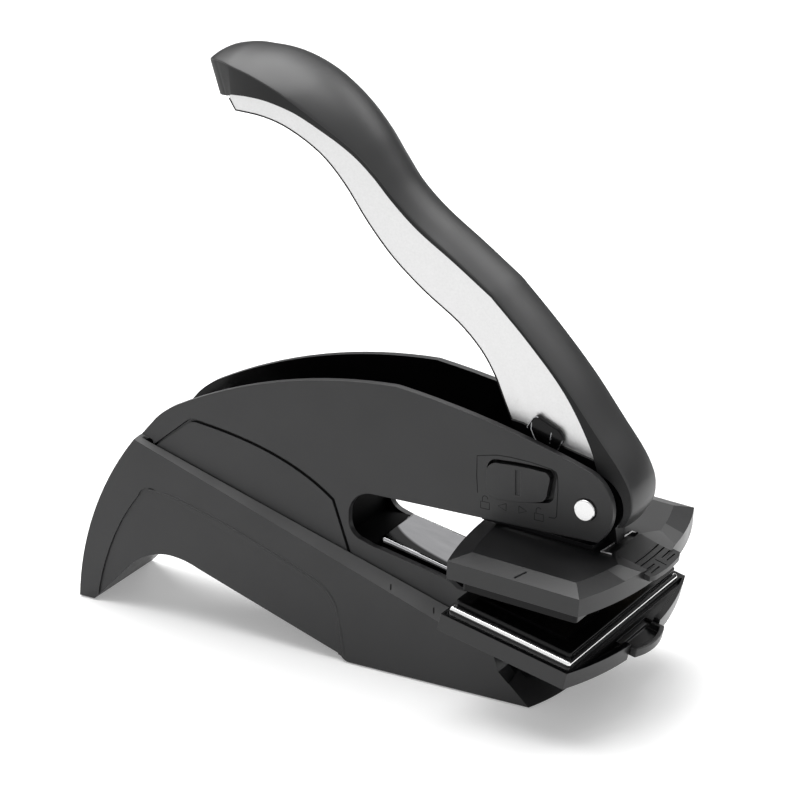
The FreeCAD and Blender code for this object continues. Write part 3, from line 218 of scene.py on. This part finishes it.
# black rubber pads: dull, with a coarse grain
pad_rubber = moulded_plastic("pad_rubber", "0f0f10", "171717", 0.9, 0.03, 0.70, 0.85)
# engraving resin of the counter-die
die_resin = moulded_plastic("die_resin", "0b0b0c", "101011", 1.2, 0.003, 0.14, 0.22)
# blackened steel: oxide finish with a low sheen; on the front faces of the lower die plate it is a painted dark
# reflection
black_oxide_and_dark_reflection = moulded_plastic("black_oxide_and_dark_reflection", "08080a", "0e0e10", 0.7, 0.006, 0.30, 0.42, 0.2)
# painted dark edge: the narrow and rounded edges of the lever plates, and a line below the near plate, drawn dark
# as the dark reflection along them
painted_dark_edge = moulded_plastic("painted_dark_edge", "0a0a0b", "141415", 0.5, 0.004, 0.5, 0.6, 0.2)
# engraved lines, drawn as fine dark beads: their dark colour is painted shade in the grooves
engraving = moulded_plastic("engraving", "070708", "0b0b0c", 0.4, 0.004, 0.6, 0.8, 0.2)
# satin nickel on the lever plates: blasted, so it sparkles finely (drawn 0.6 mm wide to show)
satin_nickel = plated_steel("satin_nickel", "c6c6c6", "dcdcdc", 0.42, 0.6, (1, 1, 1), 0.006)
# bright nickel on the die plates and their rounded edges
bright_nickel = plated_steel("bright_nickel", "d8d8d8", "f2f2f2", 0.16, 0.8, (0.15, 1, 1))
# polished steel pins
pin_steel = plated_steel("pin_steel", "c8c8c8", "d8d8d8", 0.14, 1.0, (1, 0.2, 1), 0.001)
# ground and polished anvil bar, with a dark reflection painted on its near side
anvil_steel = plated_steel("anvil_steel", "8c8c8e", "a0a0a2", 0.10, 2.5, (0.2, 1, 1), 0.0004, True)
# zinc-plated screws
zinc_plate = plated_steel("zinc_plate", "8f9092", "b4b5b7", 0.28, 0.5, (1, 1, 1))
# drawn spring wire
spring_wire = plated_steel("spring_wire", "77787a", "98999b", 0.25, 0.5, (1, 1, 1))
# engraved brass die, darkened: its dark colour is painted shade under the upper carrier
die_brass = plated_steel("die_brass", "3a3020", "4a3e2a", 0.30, 0.5, (1, 1, 1))

FINISH = {
    "right_side_wall": eroded_abs, "left_side_wall": eroded_abs,
    "right_base_shell": eroded_abs, "left_base_shell": eroded_abs,
    "throat_block": throat_shade_abs, "channel_floor": gloss_black_and_shade_abs,
    "lower_die_frame": gloss_black_and_shade_abs, "upper_die_frame": gloss_black_and_shade_abs,
    "release_catch": stoned_abs, "upper_carrier": stoned_abs, "lower_tray": stoned_abs,
    "handle_cover": soft_touch_abs, "lock_button": eroded_abs, "lock_lug": gloss_black_and_shade_abs,
    "frame_spacers": acetal, "lever_spacers": acetal, "pivot_washers": acetal,
    "right_lever_plate": satin_nickel, "left_lever_plate": satin_nickel,
    "lever_hub": black_oxide_and_dark_reflection, "jaw_arm": black_oxide_and_dark_reflection, "hub_caps": gloss_black_and_shade_abs,
    "handle_pin": pin_steel, "jaw_pin": pin_steel, "roller_pin": pin_steel, "cam_roller": pin_steel,
    "spring_bar": pin_steel, "lower_die_plate": bright_nickel, "upper_die_plate": bright_nickel,
    "anvil_bar": anvil_steel, "upper_die": die_brass, "lower_die": die_resin,
    "return_spring": spring_wire, "casing_screws": zinc_plate, "tray_screws": zinc_plate,
    "arm_screws": zinc_plate, "foot_pads": pad_rubber,
}


def give(piece, *materials):
    piece.data.materials.clear()
    for material in materials:
        piece.data.materials.append(material)


for node, material in FINISH.items():
    give(NODES[node], material)


# ------------------------------------------------------------ dressed pieces
def body_of(node):
    bodies = frame["record"]["behaviour"]["bodies"]
    return next(name for name, members in bodies.items() if node in members)


def modifier(piece, kind, **settings):
    added = piece.modifiers.new(kind.lower(), kind)
    for name, value in settings.items():
        setattr(added, name, value)


def slot_of(node):
    subparts = frame["record"]["subparts"]
    return next(item["material_slot"] for item in subparts if item["node"] == node)


def new_piece(name, verts, faces, body, slot, *materials):
    mesh = bpy.data.meshes.new(name)
    mesh.from_pydata(verts, [], faces)
    piece = bpy.data.objects.new(name, mesh)
    scene.collection.objects.link(piece)
    give(piece, *materials)
    for face in mesh.polygons:
        face.use_smooth = True
    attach(piece, body)
    return piece


OWN_FINISH, OTHER_FINISH = -1, 1  # material slots: each face's own, and the second


def round_edges(piece, edge_mm, angle, finish=OWN_FINISH):
    """Rounds the edges that are sharper than the angle, in degrees."""
    modifier(piece, "BEVEL", width=edge_mm * MM, segments=2, limit_method="ANGLE", material=finish,
             angle_limit=radians(angle), harden_normals=True, miter_outer="MITER_ARC")
    modifier(piece, "WEIGHTED_NORMAL", keep_sharp=True)


JAW_PITCH = 13.5
LOWER_UP = Vector((sin(radians(JAW_PITCH)), 0, cos(radians(JAW_PITCH))))
SAME_POINT_MM = 0.002
FLAT_ANGLE = 0.6
DIE_RIM_MM = 1.05
TRAY_FLOOR_MM = 33
BUTTON_GROW = (1.03, 1.06)
# Angles, in degrees, above which an edge is rounded
SHARP_ANGLE = 28
CRISP = {"upper_carrier": 9, "right_base_shell": 14, "left_base_shell": 14, "lower_tray": 12,
         "lower_die_plate": 30}


def tray_floor_shade(face):
    """True for the tray's floor, within its side rims."""
    return face.normal.z > 0.9 and abs(face.center.y) < TRAY_FLOOR_MM * MM


def dark_reflection_face(face):
    """True for the faces that run across the jaw's front, painted dark as the dark reflection there."""
    return 0.35 < abs(face.normal.x) < 0.9 and abs(face.normal.y) < 0.3


def is_pad(face):
    """True for the finger pad, which slopes down ahead at the middle of the upper jaw."""
    return 0.2 < face.normal.x < 0.35 and abs(face.normal.y) < 0.1 and face.normal.z > 0.9


def inner_shade_face(face):
    """True for a face that looks towards the middle of the press."""
    return face.normal.y * face.center.y < -0.7 * abs(face.center.y)


def is_plate_edge_face(face):
    """True for the narrow faces round a lever plate."""
    return abs(face.normal.y) < 0.7


# Second finishes by face: the darker gloss black on the inner faces of walls and shells and on the tray floor is
# painted shade; the dark plate edges and die plate front are painted dark reflection
SECOND_FINISH = {
    "right_side_wall": (gloss_black_and_shade_abs, inner_shade_face), "left_side_wall": (gloss_black_and_shade_abs, inner_shade_face),
    "right_base_shell": (gloss_black_and_shade_abs, inner_shade_face), "left_base_shell": (gloss_black_and_shade_abs, inner_shade_face),
    "right_lever_plate": (painted_dark_edge, is_plate_edge_face), "left_lever_plate": (painted_dark_edge, is_plate_edge_face),
    "lower_tray": (gloss_black_and_shade_abs, tray_floor_shade), "lower_die_plate": (black_oxide_and_dark_reflection, dark_reflection_face),
    "upper_carrier": (skirt_shade_and_pad_abs, is_pad),
}


def moulded_copy(node, edge_mm):
    """The node's own shape with its sharp edges rounded, as moulding and tumbling leave them."""
    mesh = NODES[node].data.copy()
    form = bmesh.new()
    form.from_mesh(mesh)
    bmesh.ops.remove_doubles(form, verts=form.verts, dist=SAME_POINT_MM * MM)
    bmesh.ops.dissolve_limit(form, angle_limit=radians(FLAT_ANGLE), verts=form.verts, edges=form.edges)
    if node == "lock_button":
        right = max(vert.co.x for vert in form.verts)
        top = max(vert.co.z for vert in form.verts)
        for vert in form.verts:
            vert.co.x = right + BUTTON_GROW[0] * (vert.co.x - right)
            vert.co.z = top + BUTTON_GROW[1] * (vert.co.z - top)
    if node == "lower_die_plate":
        form.normal_update()
        rim = [edge for edge in form.edges if sorted(
            face.normal.dot(LOWER_UP) > 0.99 for face in edge.link_faces) == [False, True]]
        bmesh.ops.bevel(form, geom=rim, offset=DIE_RIM_MM * MM, segments=5, profile=0.5,
                        affect="EDGES", clamp_overlap=True)
    form.to_mesh(mesh)
    form.free()
    for face in mesh.polygons:
        face.use_smooth = True
    piece = bpy.data.objects.new(node + "_moulded", mesh)
    scene.collection.objects.link(piece)
    if node in SECOND_FINISH:
        second, wanted = SECOND_FINISH[node]
        piece.data.materials.append(second)
        for face in mesh.polygons:
            if wanted(face):
                face.material_index = OTHER_FINISH
    # the lever plates' rounded edges take the painted dark edge too
    finish = OTHER_FINISH if node.endswith("lever_plate") else OWN_FINISH
    round_edges(piece, edge_mm, CRISP.get(node, SHARP_ANGLE), finish)
    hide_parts(node)
    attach(piece, body_of(node))


EDGES_MM = {
    "right_side_wall": 0.35, "left_side_wall": 0.35, "right_base_shell": 0.35, "left_base_shell": 0.35,
    "upper_carrier": 0.3, "lower_tray": 0.35, "lower_die_frame": 0.3, "upper_die_frame": 0.3,
    "lower_die_plate": 0.13, "upper_die_plate": 0.2, "right_lever_plate": 0.42, "left_lever_plate": 0.42,
    "handle_pin": 0.4, "release_catch": 0.25, "lock_button": 0.15, "anvil_bar": 0.7,
    "throat_block": 0.3, "channel_floor": 0.25, "lock_lug": 0.3, "jaw_arm": 0.2, "hub_caps": 0.25,
}
for node, width in EDGES_MM.items():
    moulded_copy(node, width)


# -------------------------------------------------------------- handle cover
# Stations of the cover: top line x and z, crease half width, crown, skirt half width, depth, in mm
COVER = [
    (-115.0, 157.7, 3.0, 0.3, 2.8, 8.5),
    (-114.6, 158.9, 5.4, 0.5, 5.2, 9.8),
    (-113.2, 160.2, 7.4, 0.9, 7.2, 10.9),
    (-110.6, 161.3, 9.0, 1.5, 8.8, 11.4),
    (-105.3, 162.2, 11.2, 2.5, 11.0, 10.6),
    (-96.0, 161.8, 13.4, 3.6, 13.2, 9.4),
    (-88.2, 159.8, 14.0, 4.2, 13.8, 8.2),
    (-80.9, 156.7, 13.7, 4.8, 13.5, 7.4),
    (-72.8, 151.0, 12.5, 4.5, 12.3, 6.4),
    (-66.2, 144.3, 10.5, 3.4, 10.4, 5.0),
    (-61.3, 137.7, 8.9, 2.5, 8.9, 3.9),
    (-56.4, 131.2, 8.1, 1.9, 8.2, 3.3),
    (-49.7, 124.8, 8.1, 1.5, 8.1, 2.9),
    (-39.3, 117.5, 8.1, 1.3, 8.1, 2.5),
    (-28.4, 109.7, 8.1, 1.2, 8.1, 2.3),
    (-17.7, 99.2, 8.0, 1.1, 8.1, 2.2),
    (-6.9, 87.4, 7.9, 1.0, 8.2, 2.4),
    (1.8, 76.2, 7.8, 0.9, 8.3, 4.2),
    (7.9, 68.4, 7.6, 0.9, 8.3, 7.6),
    (10.7, 63.2, 7.3, 0.8, 8.3, 8.4),
    (11.4, 59.6, 7.1, 0.7, 8.2, 8.0),
    (10.9, 55.4, 6.8, 0.6, 8.1, 6.4),
    (8.2, 50.8, 6.5, 0.5, 7.9, 3.2),
]
FOLD_X_MM = -28.4
COVER_FOLDS = [next(i for i, row in enumerate(COVER) if row[0] == FOLD_X_MM)]
PIN_HEIGHT_MM = 56.8
TIP_RISE = 0.3  # steepest tilt of a ring
COVER_SKIRT = (8, 9, 17, 18)  # strips of each ring that are skirt
COVER_EDGE_MM, COVER_ANGLE = 0.3, 40
HUB_CLEAR_MM = 8.75
PLATE_FACE_MM = 7.05
PLATE_LAP_MM = 0.75
COVER_WALL_MM = 1.7
COVER_WIDEST_MM, COVER_TOP_MM = 13.98, 162.18  # just inside the cover's solid
TOP_POINTS = (0.0, 0.2, 0.4, 0.58, 0.74, 0.87, 0.95)


def smooth_rows(rows, steps, folds):
    """Rows along one smooth curve through the given rows, steps to a span, with a fold at some rows."""
    lengths = [0.0]
    for before, after in zip(rows, rows[1:]):
        lengths.append(lengths[-1] + hypot(after[0] - before[0], after[1] - before[1]))
    last = len(rows) - 1

    def slope(i, k, side):
        low, high = max(i - 1, 0), min(i + 1, last)
        if i in folds:
            low, high = (i, high) if side > 0 else (low, i)
        return (rows[high][k] - rows[low][k]) / (lengths[high] - lengths[low])

    out = []
    for i in range(last):
        span = lengths[i + 1] - lengths[i]
        for step in range(steps):
            t = step / steps
            keep, arrive = 2 * t ** 3 - 3 * t ** 2 + 1, 3 * t ** 2 - 2 * t ** 3
            leave, brake = t ** 3 - 2 * t ** 2 + t, t ** 3 - t ** 2
            out.append([
                keep * rows[i][k] + arrive * rows[i + 1][k]
                + span * (leave * slope(i, k, 1) + brake * slope(i + 1, k, -1))
                for k in range(len(rows[0]))])
    out.append(list(rows[-1]))
    return out


def reach_to_hub(x, z, out_x, out_z, depth):
    """Depth of the skirt, no deeper than where it meets the clearance round the hub."""
    rise = z - PIN_HEIGHT_MM
    middle = x * out_x + rise * out_z
    square = middle ** 2 - (x ** 2 + rise ** 2 - HUB_CLEAR_MM ** 2)
    if square <= 0:
        return depth
    return max(0.4, min(depth, middle - sqrt(square)))


def cover_ring(row, out_x, out_z):
    """Closed ring of the cover at a station: top, folded edge, skirt and inside, on both sides."""
    x, z, crease, crown, skirt, depth = row
    crease, z = min(crease, COVER_WIDEST_MM), min(z, COVER_TOP_MM)
    depth = reach_to_hub(x, z, out_x, out_z, depth)
    crown = min(crown, 0.7 * depth)
    over = [(crease * t, -crown * t ** 2.2) for t in TOP_POINTS]
    edge = [(crease - 0.05, -crown - 0.06), (crease, -min(crown + 0.35, 0.85 * depth))]
    side = [((crease + skirt) / 2, -(crown + depth) / 2), (skirt, -depth)]
    wall = min(COVER_WALL_MM, max(skirt - PLATE_FACE_MM, 0.9))
    roof = min(crown + COVER_WALL_MM, max(depth - PLATE_LAP_MM, 0.5 * depth))
    inside = [(skirt - wall, -depth), (max(crease - wall, 0.5), -roof), (0.4 * (crease - wall), -roof)]
    half = over + edge + side + inside
    ring = half + [(-y, out) for y, out in reversed(half[1:])]
    return [at(x + out * out_x, y, z + out * out_z) for y, out in ring]


def handle_cover():
    rows = smooth_rows(COVER, 6, COVER_FOLDS)
    verts, faces = [], []
    for i, row in enumerate(rows):
        before, after = rows[max(i - 1, 0)], rows[min(i + 1, len(rows) - 1)]
        along_x = after[0] - before[0]
        along_z = min(after[1] - before[1], TIP_RISE * along_x)
        length = hypot(along_x, along_z)
        verts += cover_ring(row, -along_z / length, along_x / length)
    count = len(verts) // len(rows)
    for i in range(len(rows) - 1):
        for k in range(count):
            low, high = i * count + k, i * count + (k + 1) % count
            faces.append((low, high, high + count, low + count))
    faces.append(tuple(reversed(range(count))))
    faces.append(tuple(range(len(verts) - count, len(verts))))
    cover = new_piece("handle_cover_moulded", verts, faces, "lever", slot_of("handle_cover"),
                      soft_touch_abs, skirt_shade_and_pad_abs)
    # painted shade: the skirt strips and the end faces take the darker finish, for the cover's dark sides
    for face in cover.data.polygons:
        if face.index >= (len(rows) - 1) * count or face.index % count in COVER_SKIRT:
            face.material_index = OTHER_FINISH
    form = bmesh.new()
    form.from_mesh(cover.data)
    bmesh.ops.recalc_face_normals(form, faces=form.faces)
    form.to_mesh(cover.data)
    form.free()
    round_edges(cover, COVER_EDGE_MM, COVER_ANGLE)
    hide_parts("handle_cover")


handle_cover()


# ------------------------------------------------------------ lines and marks
def cut_line(name, points, body, radius_mm=0.34, sunk_mm=0.29, out=(0, RIGHT, 0), finish=engraving):
    """Fine bead sunk in the surface. In the default dark finish it draws an engraved line, whose dark colour is
    painted shade in the groove.
    """
    curve = bpy.data.curves.new(name, "CURVE")
    curve.dimensions = "3D"
    curve.bevel_depth = radius_mm * MM
    curve.bevel_resolution = 2
    curve.use_fill_caps = True
    spline = curve.splines.new("POLY")
    spline.points.add(len(points) - 1)
    for point, place in zip(spline.points, points):
        point.co = (*(place - Vector(out) * sunk_mm * MM), 1.0)
    line = bpy.data.objects.new(name, curve)
    scene.collection.objects.link(line)
    give(line, finish)
    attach(line, body)


def on_wall(points):
    return [at(x, RIGHT * WALL_OUT_MM, z) for x, z in points]


def arc_points(x, z, radius, start, end, count=9):
    angles = [radians(start + (end - start) * i / (count - 1)) for i in range(count)]
    return [(x + radius * cos(angle), z + radius * sin(angle)) for angle in angles]


SIGN_RADIUS_MM, SIGN_SUNK_MM = 0.3, 0.26


def sign_line(name, points):
    """Line of a sign on the near wall, by the lock button."""
    cut_line(name, on_wall(points), "base", SIGN_RADIUS_MM, SIGN_SUNK_MM)


LOCK_HALF_MM, LOCK_HIGH_MM = 1.3, 1.9
SHACKLE_RADIUS_MM, SHACKLE_UP_MM = 0.8, 0.9


def padlock(name, x, z, shackle_end):
    """Padlock sign: a square body and a shackle, which ends at that angle."""
    left, right = x - LOCK_HALF_MM, x + LOCK_HALF_MM
    low = z - LOCK_HIGH_MM
    centre = z + SHACKLE_UP_MM
    end = radians(shackle_end)
    body = [(left, low), (right, low), (right, z), (left, z), (left, low)]
    arc = list(reversed(arc_points(x, centre, SHACKLE_RADIUS_MM, shackle_end, 180)))
    shackle = [(x - SHACKLE_RADIUS_MM, z)] + arc + [
        (x + SHACKLE_RADIUS_MM * cos(end), centre + SHACKLE_RADIUS_MM * sin(end))]
    sign_line(name + "_body", body)
    sign_line(name + "_shackle", shackle)


# Places of the lines, in mm: x and z on a wall or plate, or x, y and z
LOCK_FRAME = [
    (-31.3, 55.2), (-31.6, 60.0), (-31.5, 65.5), (-29.8, 65.9), (-25.7, 66.8), (-21.9, 67.0),
    (-16.1, 66.8), (-9.8, 66.0), (-8.5, 65.4), (-8.1, 64.0), (-8.0, 60.7), (-8.3, 53.2),
    (-8.8, 52.6), (-10.5, 52.5),
]
PLATE_FACE_Y = -7.0
PLATE_LOWER_EDGE = [
    (-22.6, 72.0), (-24.6, 76.3), (-26.7, 81.1), (-29.2, 86.8), (-33.3, 93.0), (-39.9, 99.3),
    (-49.8, 106.0), (-58.9, 113.5), (-66.4, 121.9), (-73.4, 131.4), (-80.5, 138.4), (-89.7, 143.5),
    (-97.7, 145.7), (-106.0, 146.2),
]
PLATE_END = (-107.9, 149.2)
SHELL_RIB = [
    (-131.5, -14.0, 36.3), (-124.3, -14.6, 36.3), (-115.6, -14.9, 34.2), (-105.7, -15.2, 31.7),
    (-97.1, -15.5, 28.7), (-86.2, -15.9, 25.0), (-76.5, -16.2, 21.1), (-72.3, -16.5, 17.0),
    (-70.7, -16.6, 12.4), (-69.5, -16.9, 5.9), (-68.8, -17.0, 1.7),
]
LUG_FACE_Y = -8.5
LUG_HIGHLIGHTS = [
    [(-18.8, 74.5), (-18.9, 74.9), (-17.1, 77.6), (-16.5, 78.0), (-15.7, 78.0)],
    [(-17.6, 76.2), (-17.8, 74.4), (-17.0, 72.5), (-16.4, 71.6)],
    [(-11.9, 74.5), (-12.4, 71.3)],
    [(-8.7, 72.8), (-9.6, 70.7), (-10.4, 69.5), (-11.6, 69.4)],
]
ARM_HIGHLIGHT = [(5.9, -8.5, 44.25), (3.0, -8.8, 44.5), (4.2, 6.85, 44.42), (5.3, 6.94, 44.34)]
# Directions that the marked faces look in
BEVEL_UP, CHAMFER_UP = (0.2645, -0.4617, 0.8467), (0.0668, -0.289, 0.955)

# tick marks on the shell's bevel and on the upper jaw's chamfer
cut_line("casing_tick_rear", [at(-55.8, -14.6, 24.8), at(-55.1, -15.9, 23.9)], "base",
         0.22, 0.12, BEVEL_UP)
cut_line("casing_tick_front", [at(-42.9, -14.5, 20.8), at(-42.2, -15.8, 19.9)], "base",
         0.22, 0.12, BEVEL_UP)
cut_line("carrier_mark", [at(-9.56, -32.89, 43.81), at(-7.71, -29.8, 44.61)], "upper_jaw",
         0.3, 0.05, CHAMFER_UP)
# painted dark edge: dark line below the near lever plate, for the dark reflection along its edge
dark_edge_points = through(PLATE_LOWER_EDGE) + [PLATE_END]
cut_line("plate_painted_dark_edge", [at(x, PLATE_FACE_Y, z) for x, z in dark_edge_points], "lever",
         0.26, 0.1, finish=painted_dark_edge)
# raised line moulded on the near shell
cut_line("shell_rib", [at(*place) for place in through(SHELL_RIB)], "base",
         0.5, 0.3, finish=eroded_abs)
# painted highlights: bright lines along the lug's rims and the arm's front edge, where light catches them
for number, line in enumerate(LUG_HIGHLIGHTS, 1):
    cut_line("lug_worn_edge_%d" % number, [at(x, LUG_FACE_Y, z) for x, z in line], "lever",
             0.15, 0, finish=zinc_plate)
cut_line("arm_painted_highlight", [at(*place) for place in ARM_HIGHLIGHT], "upper_jaw",
         0.26, -0.05, (0, 0, 1), satin_nickel)
# signs round the lock button
cut_line("lock_frame_line", on_wall(LOCK_FRAME), "base")
padlock("closed_padlock", -29.1, 53.0, 0)
padlock("open_padlock", -13.4, 52.9, 40)
sign_line("arrow_left", [(-22.9, 53.8), (-25.3, 52.7), (-22.9, 51.7), (-22.9, 53.8)])
sign_line("arrow_right", [(-19.2, 53.9), (-16.9, 52.9), (-19.2, 51.9), (-19.2, 53.9)])


# ------------------------------------------------------------ floor and light
WHITE_RAYS = ("Is Camera Ray", "Is Glossy Ray", "Is Transmission Ray")


def white_rays(tree):
    """1 for rays that look at the backdrop, straight or by reflection, and 0 for lighting rays."""
    path = add_node(tree, "ShaderNodeLightPath")
    first = add_node(tree, "ShaderNodeMath", {
        0: path.outputs[WHITE_RAYS[0]], 1: path.outputs[WHITE_RAYS[1]]}, operation="MAXIMUM")
    return add_node(tree, "ShaderNodeMath", {0: first.outputs[0], 1: path.outputs[WHITE_RAYS[2]]},
                    operation="MAXIMUM").outputs[0]


FLOOR_GLOW = 0.28
FLOOR_HALF_M = 3.0


def studio_floor():
    """White sweep: it glows a little, and keeps the soft shadow below the press."""
    side = FLOOR_HALF_M
    mesh = bpy.data.meshes.new("studio_floor")
    corners = [(-side, -side, 0), (side, -side, 0), (side, side, 0), (-side, side, 0)]
    mesh.from_pydata(corners, [], [(0, 1, 2, 3)])
    floor = bpy.data.objects.new("studio_floor", mesh)
    scene.collection.objects.link(floor)
    material, tree = new_material("white_sweep")
    paper = add_node(tree, "ShaderNodeBsdfDiffuse", {"Color": linear("e8e8e8")})
    glow = add_node(tree, "ShaderNodeEmission", {
        "Color": (1, 1, 1, 1),
        "Strength": add_node(tree, "ShaderNodeMath", {0: white_rays(tree), 1: FLOOR_GLOW},
                             operation="MULTIPLY").outputs[0]})
    both = add_node(tree, "ShaderNodeAddShader", {0: paper.outputs[0], 1: glow.outputs[0]})
    finish_surface(tree, both)
    give(floor, material)


ROOM_LIGHT = 0.45
FLAG_LEVEL = 0.04
FLAG_TOP = (0.26, 0.50)
FLAG_SIDE = (0.3, -0.1)


def white_room():
    """White where it is looked at, dimmer as a light, with a dark flag low behind the press."""
    world = bpy.data.worlds.new("white_room")
    world.use_nodes = True
    tree = world.node_tree
    tree.nodes.clear()
    towards = add_node(tree, "ShaderNodeSeparateXYZ", {
        "Vector": add_node(tree, "ShaderNodeTexCoord").outputs["Generated"]}).outputs
    above = add_node(tree, "ShaderNodeMapRange", {
        "Value": towards["Z"], "From Min": FLAG_TOP[0], "From Max": FLAG_TOP[1],
        "To Min": FLAG_LEVEL, "To Max": 1.0}).outputs[0]
    ahead = add_node(tree, "ShaderNodeMapRange", {
        "Value": towards["Y"], "From Min": FLAG_SIDE[0], "From Max": FLAG_SIDE[1],
        "To Min": FLAG_LEVEL, "To Max": 1.0}).outputs[0]
    flag = add_node(tree, "ShaderNodeMath", {0: above, 1: ahead}, operation="MAXIMUM").outputs[0]
    seen = add_node(tree, "ShaderNodeLightPath").outputs["Is Camera Ray"]
    room = add_node(tree, "ShaderNodeMapRange", {
        "Value": white_rays(tree), "To Min": ROOM_LIGHT, "To Max": 1.0})
    dim = add_node(tree, "ShaderNodeMath", {0: room.outputs[0], 1: flag}, operation="MULTIPLY").outputs[0]
    strength = add_node(tree, "ShaderNodeMath", {0: dim, 1: seen}, operation="MAXIMUM")
    back = add_node(tree, "ShaderNodeBackground", {
        "Color": (1, 1, 1, 1), "Strength": strength.outputs[0]})
    add_node(tree, "ShaderNodeOutputWorld", {"Surface": back.outputs[0]})
    scene.world = world


def softbox(name, place, target, width, height, watts):
    """Rectangular lamp at the place, turned to the target."""
    light = bpy.data.lights.new(name, "AREA")
    light.shape = "RECTANGLE"
    light.size = width
    light.size_y = height
    light.energy = watts
    lamp = bpy.data.objects.new(name, light)
    lamp.location = place
    lamp.rotation_euler = (Vector(target) - Vector(place)).to_track_quat("-Z", "Y").to_euler()
    scene.collection.objects.link(lamp)


studio_floor()
white_room()
MIDDLE = (0, 0, 0.07)
softbox("top_box", (-0.30, 0.20, 1.15), MIDDLE, 1.3, 1.2, 23.0)
softbox("back_box", (0.34, 0.90, 0.76), MIDDLE, 0.6, 0.3, 2.0)
softbox("front_box", (1.2, 0.10, 0.30), MIDDLE, 0.5, 0.4, 1.0)


# ------------------------------------------------------------------- camera
CAMERA_TURN, CAMERA_RISE, CAMERA_ROLL = radians(29.16), radians(21.64), radians(-0.106)
CAMERA_DISTANCE_M = 1.0813
CAMERA_TARGET = at(-61.04, 0, 71.11)
LENS_MM, SENSOR_MM = 184.59, 36.0


def aim_camera():
    """Long lens from the front right, looking down a little."""
    turn, rise, roll = CAMERA_TURN, CAMERA_RISE, CAMERA_ROLL
    back = Vector((sin(turn) * cos(rise), -cos(turn) * cos(rise), sin(rise)))
    right = Vector((cos(turn), sin(turn), 0))
    up = back.cross(right)
    rolled_right = right * cos(roll) + up * sin(roll)
    rolled_up = up * cos(roll) - right * sin(roll)
    lens = bpy.data.cameras.new("camera")
    lens.sensor_width = SENSOR_MM
    lens.lens = LENS_MM
    camera = bpy.data.objects.new("camera", lens)
    camera.matrix_world = Matrix.Translation(CAMERA_TARGET + back * CAMERA_DISTANCE_M) @ Matrix(
        (rolled_right, rolled_up, back)).transposed().to_4x4()
    scene.collection.objects.link(camera)
    scene.camera = camera


aim_camera()
scene.view_settings.view_transform = "Standard"
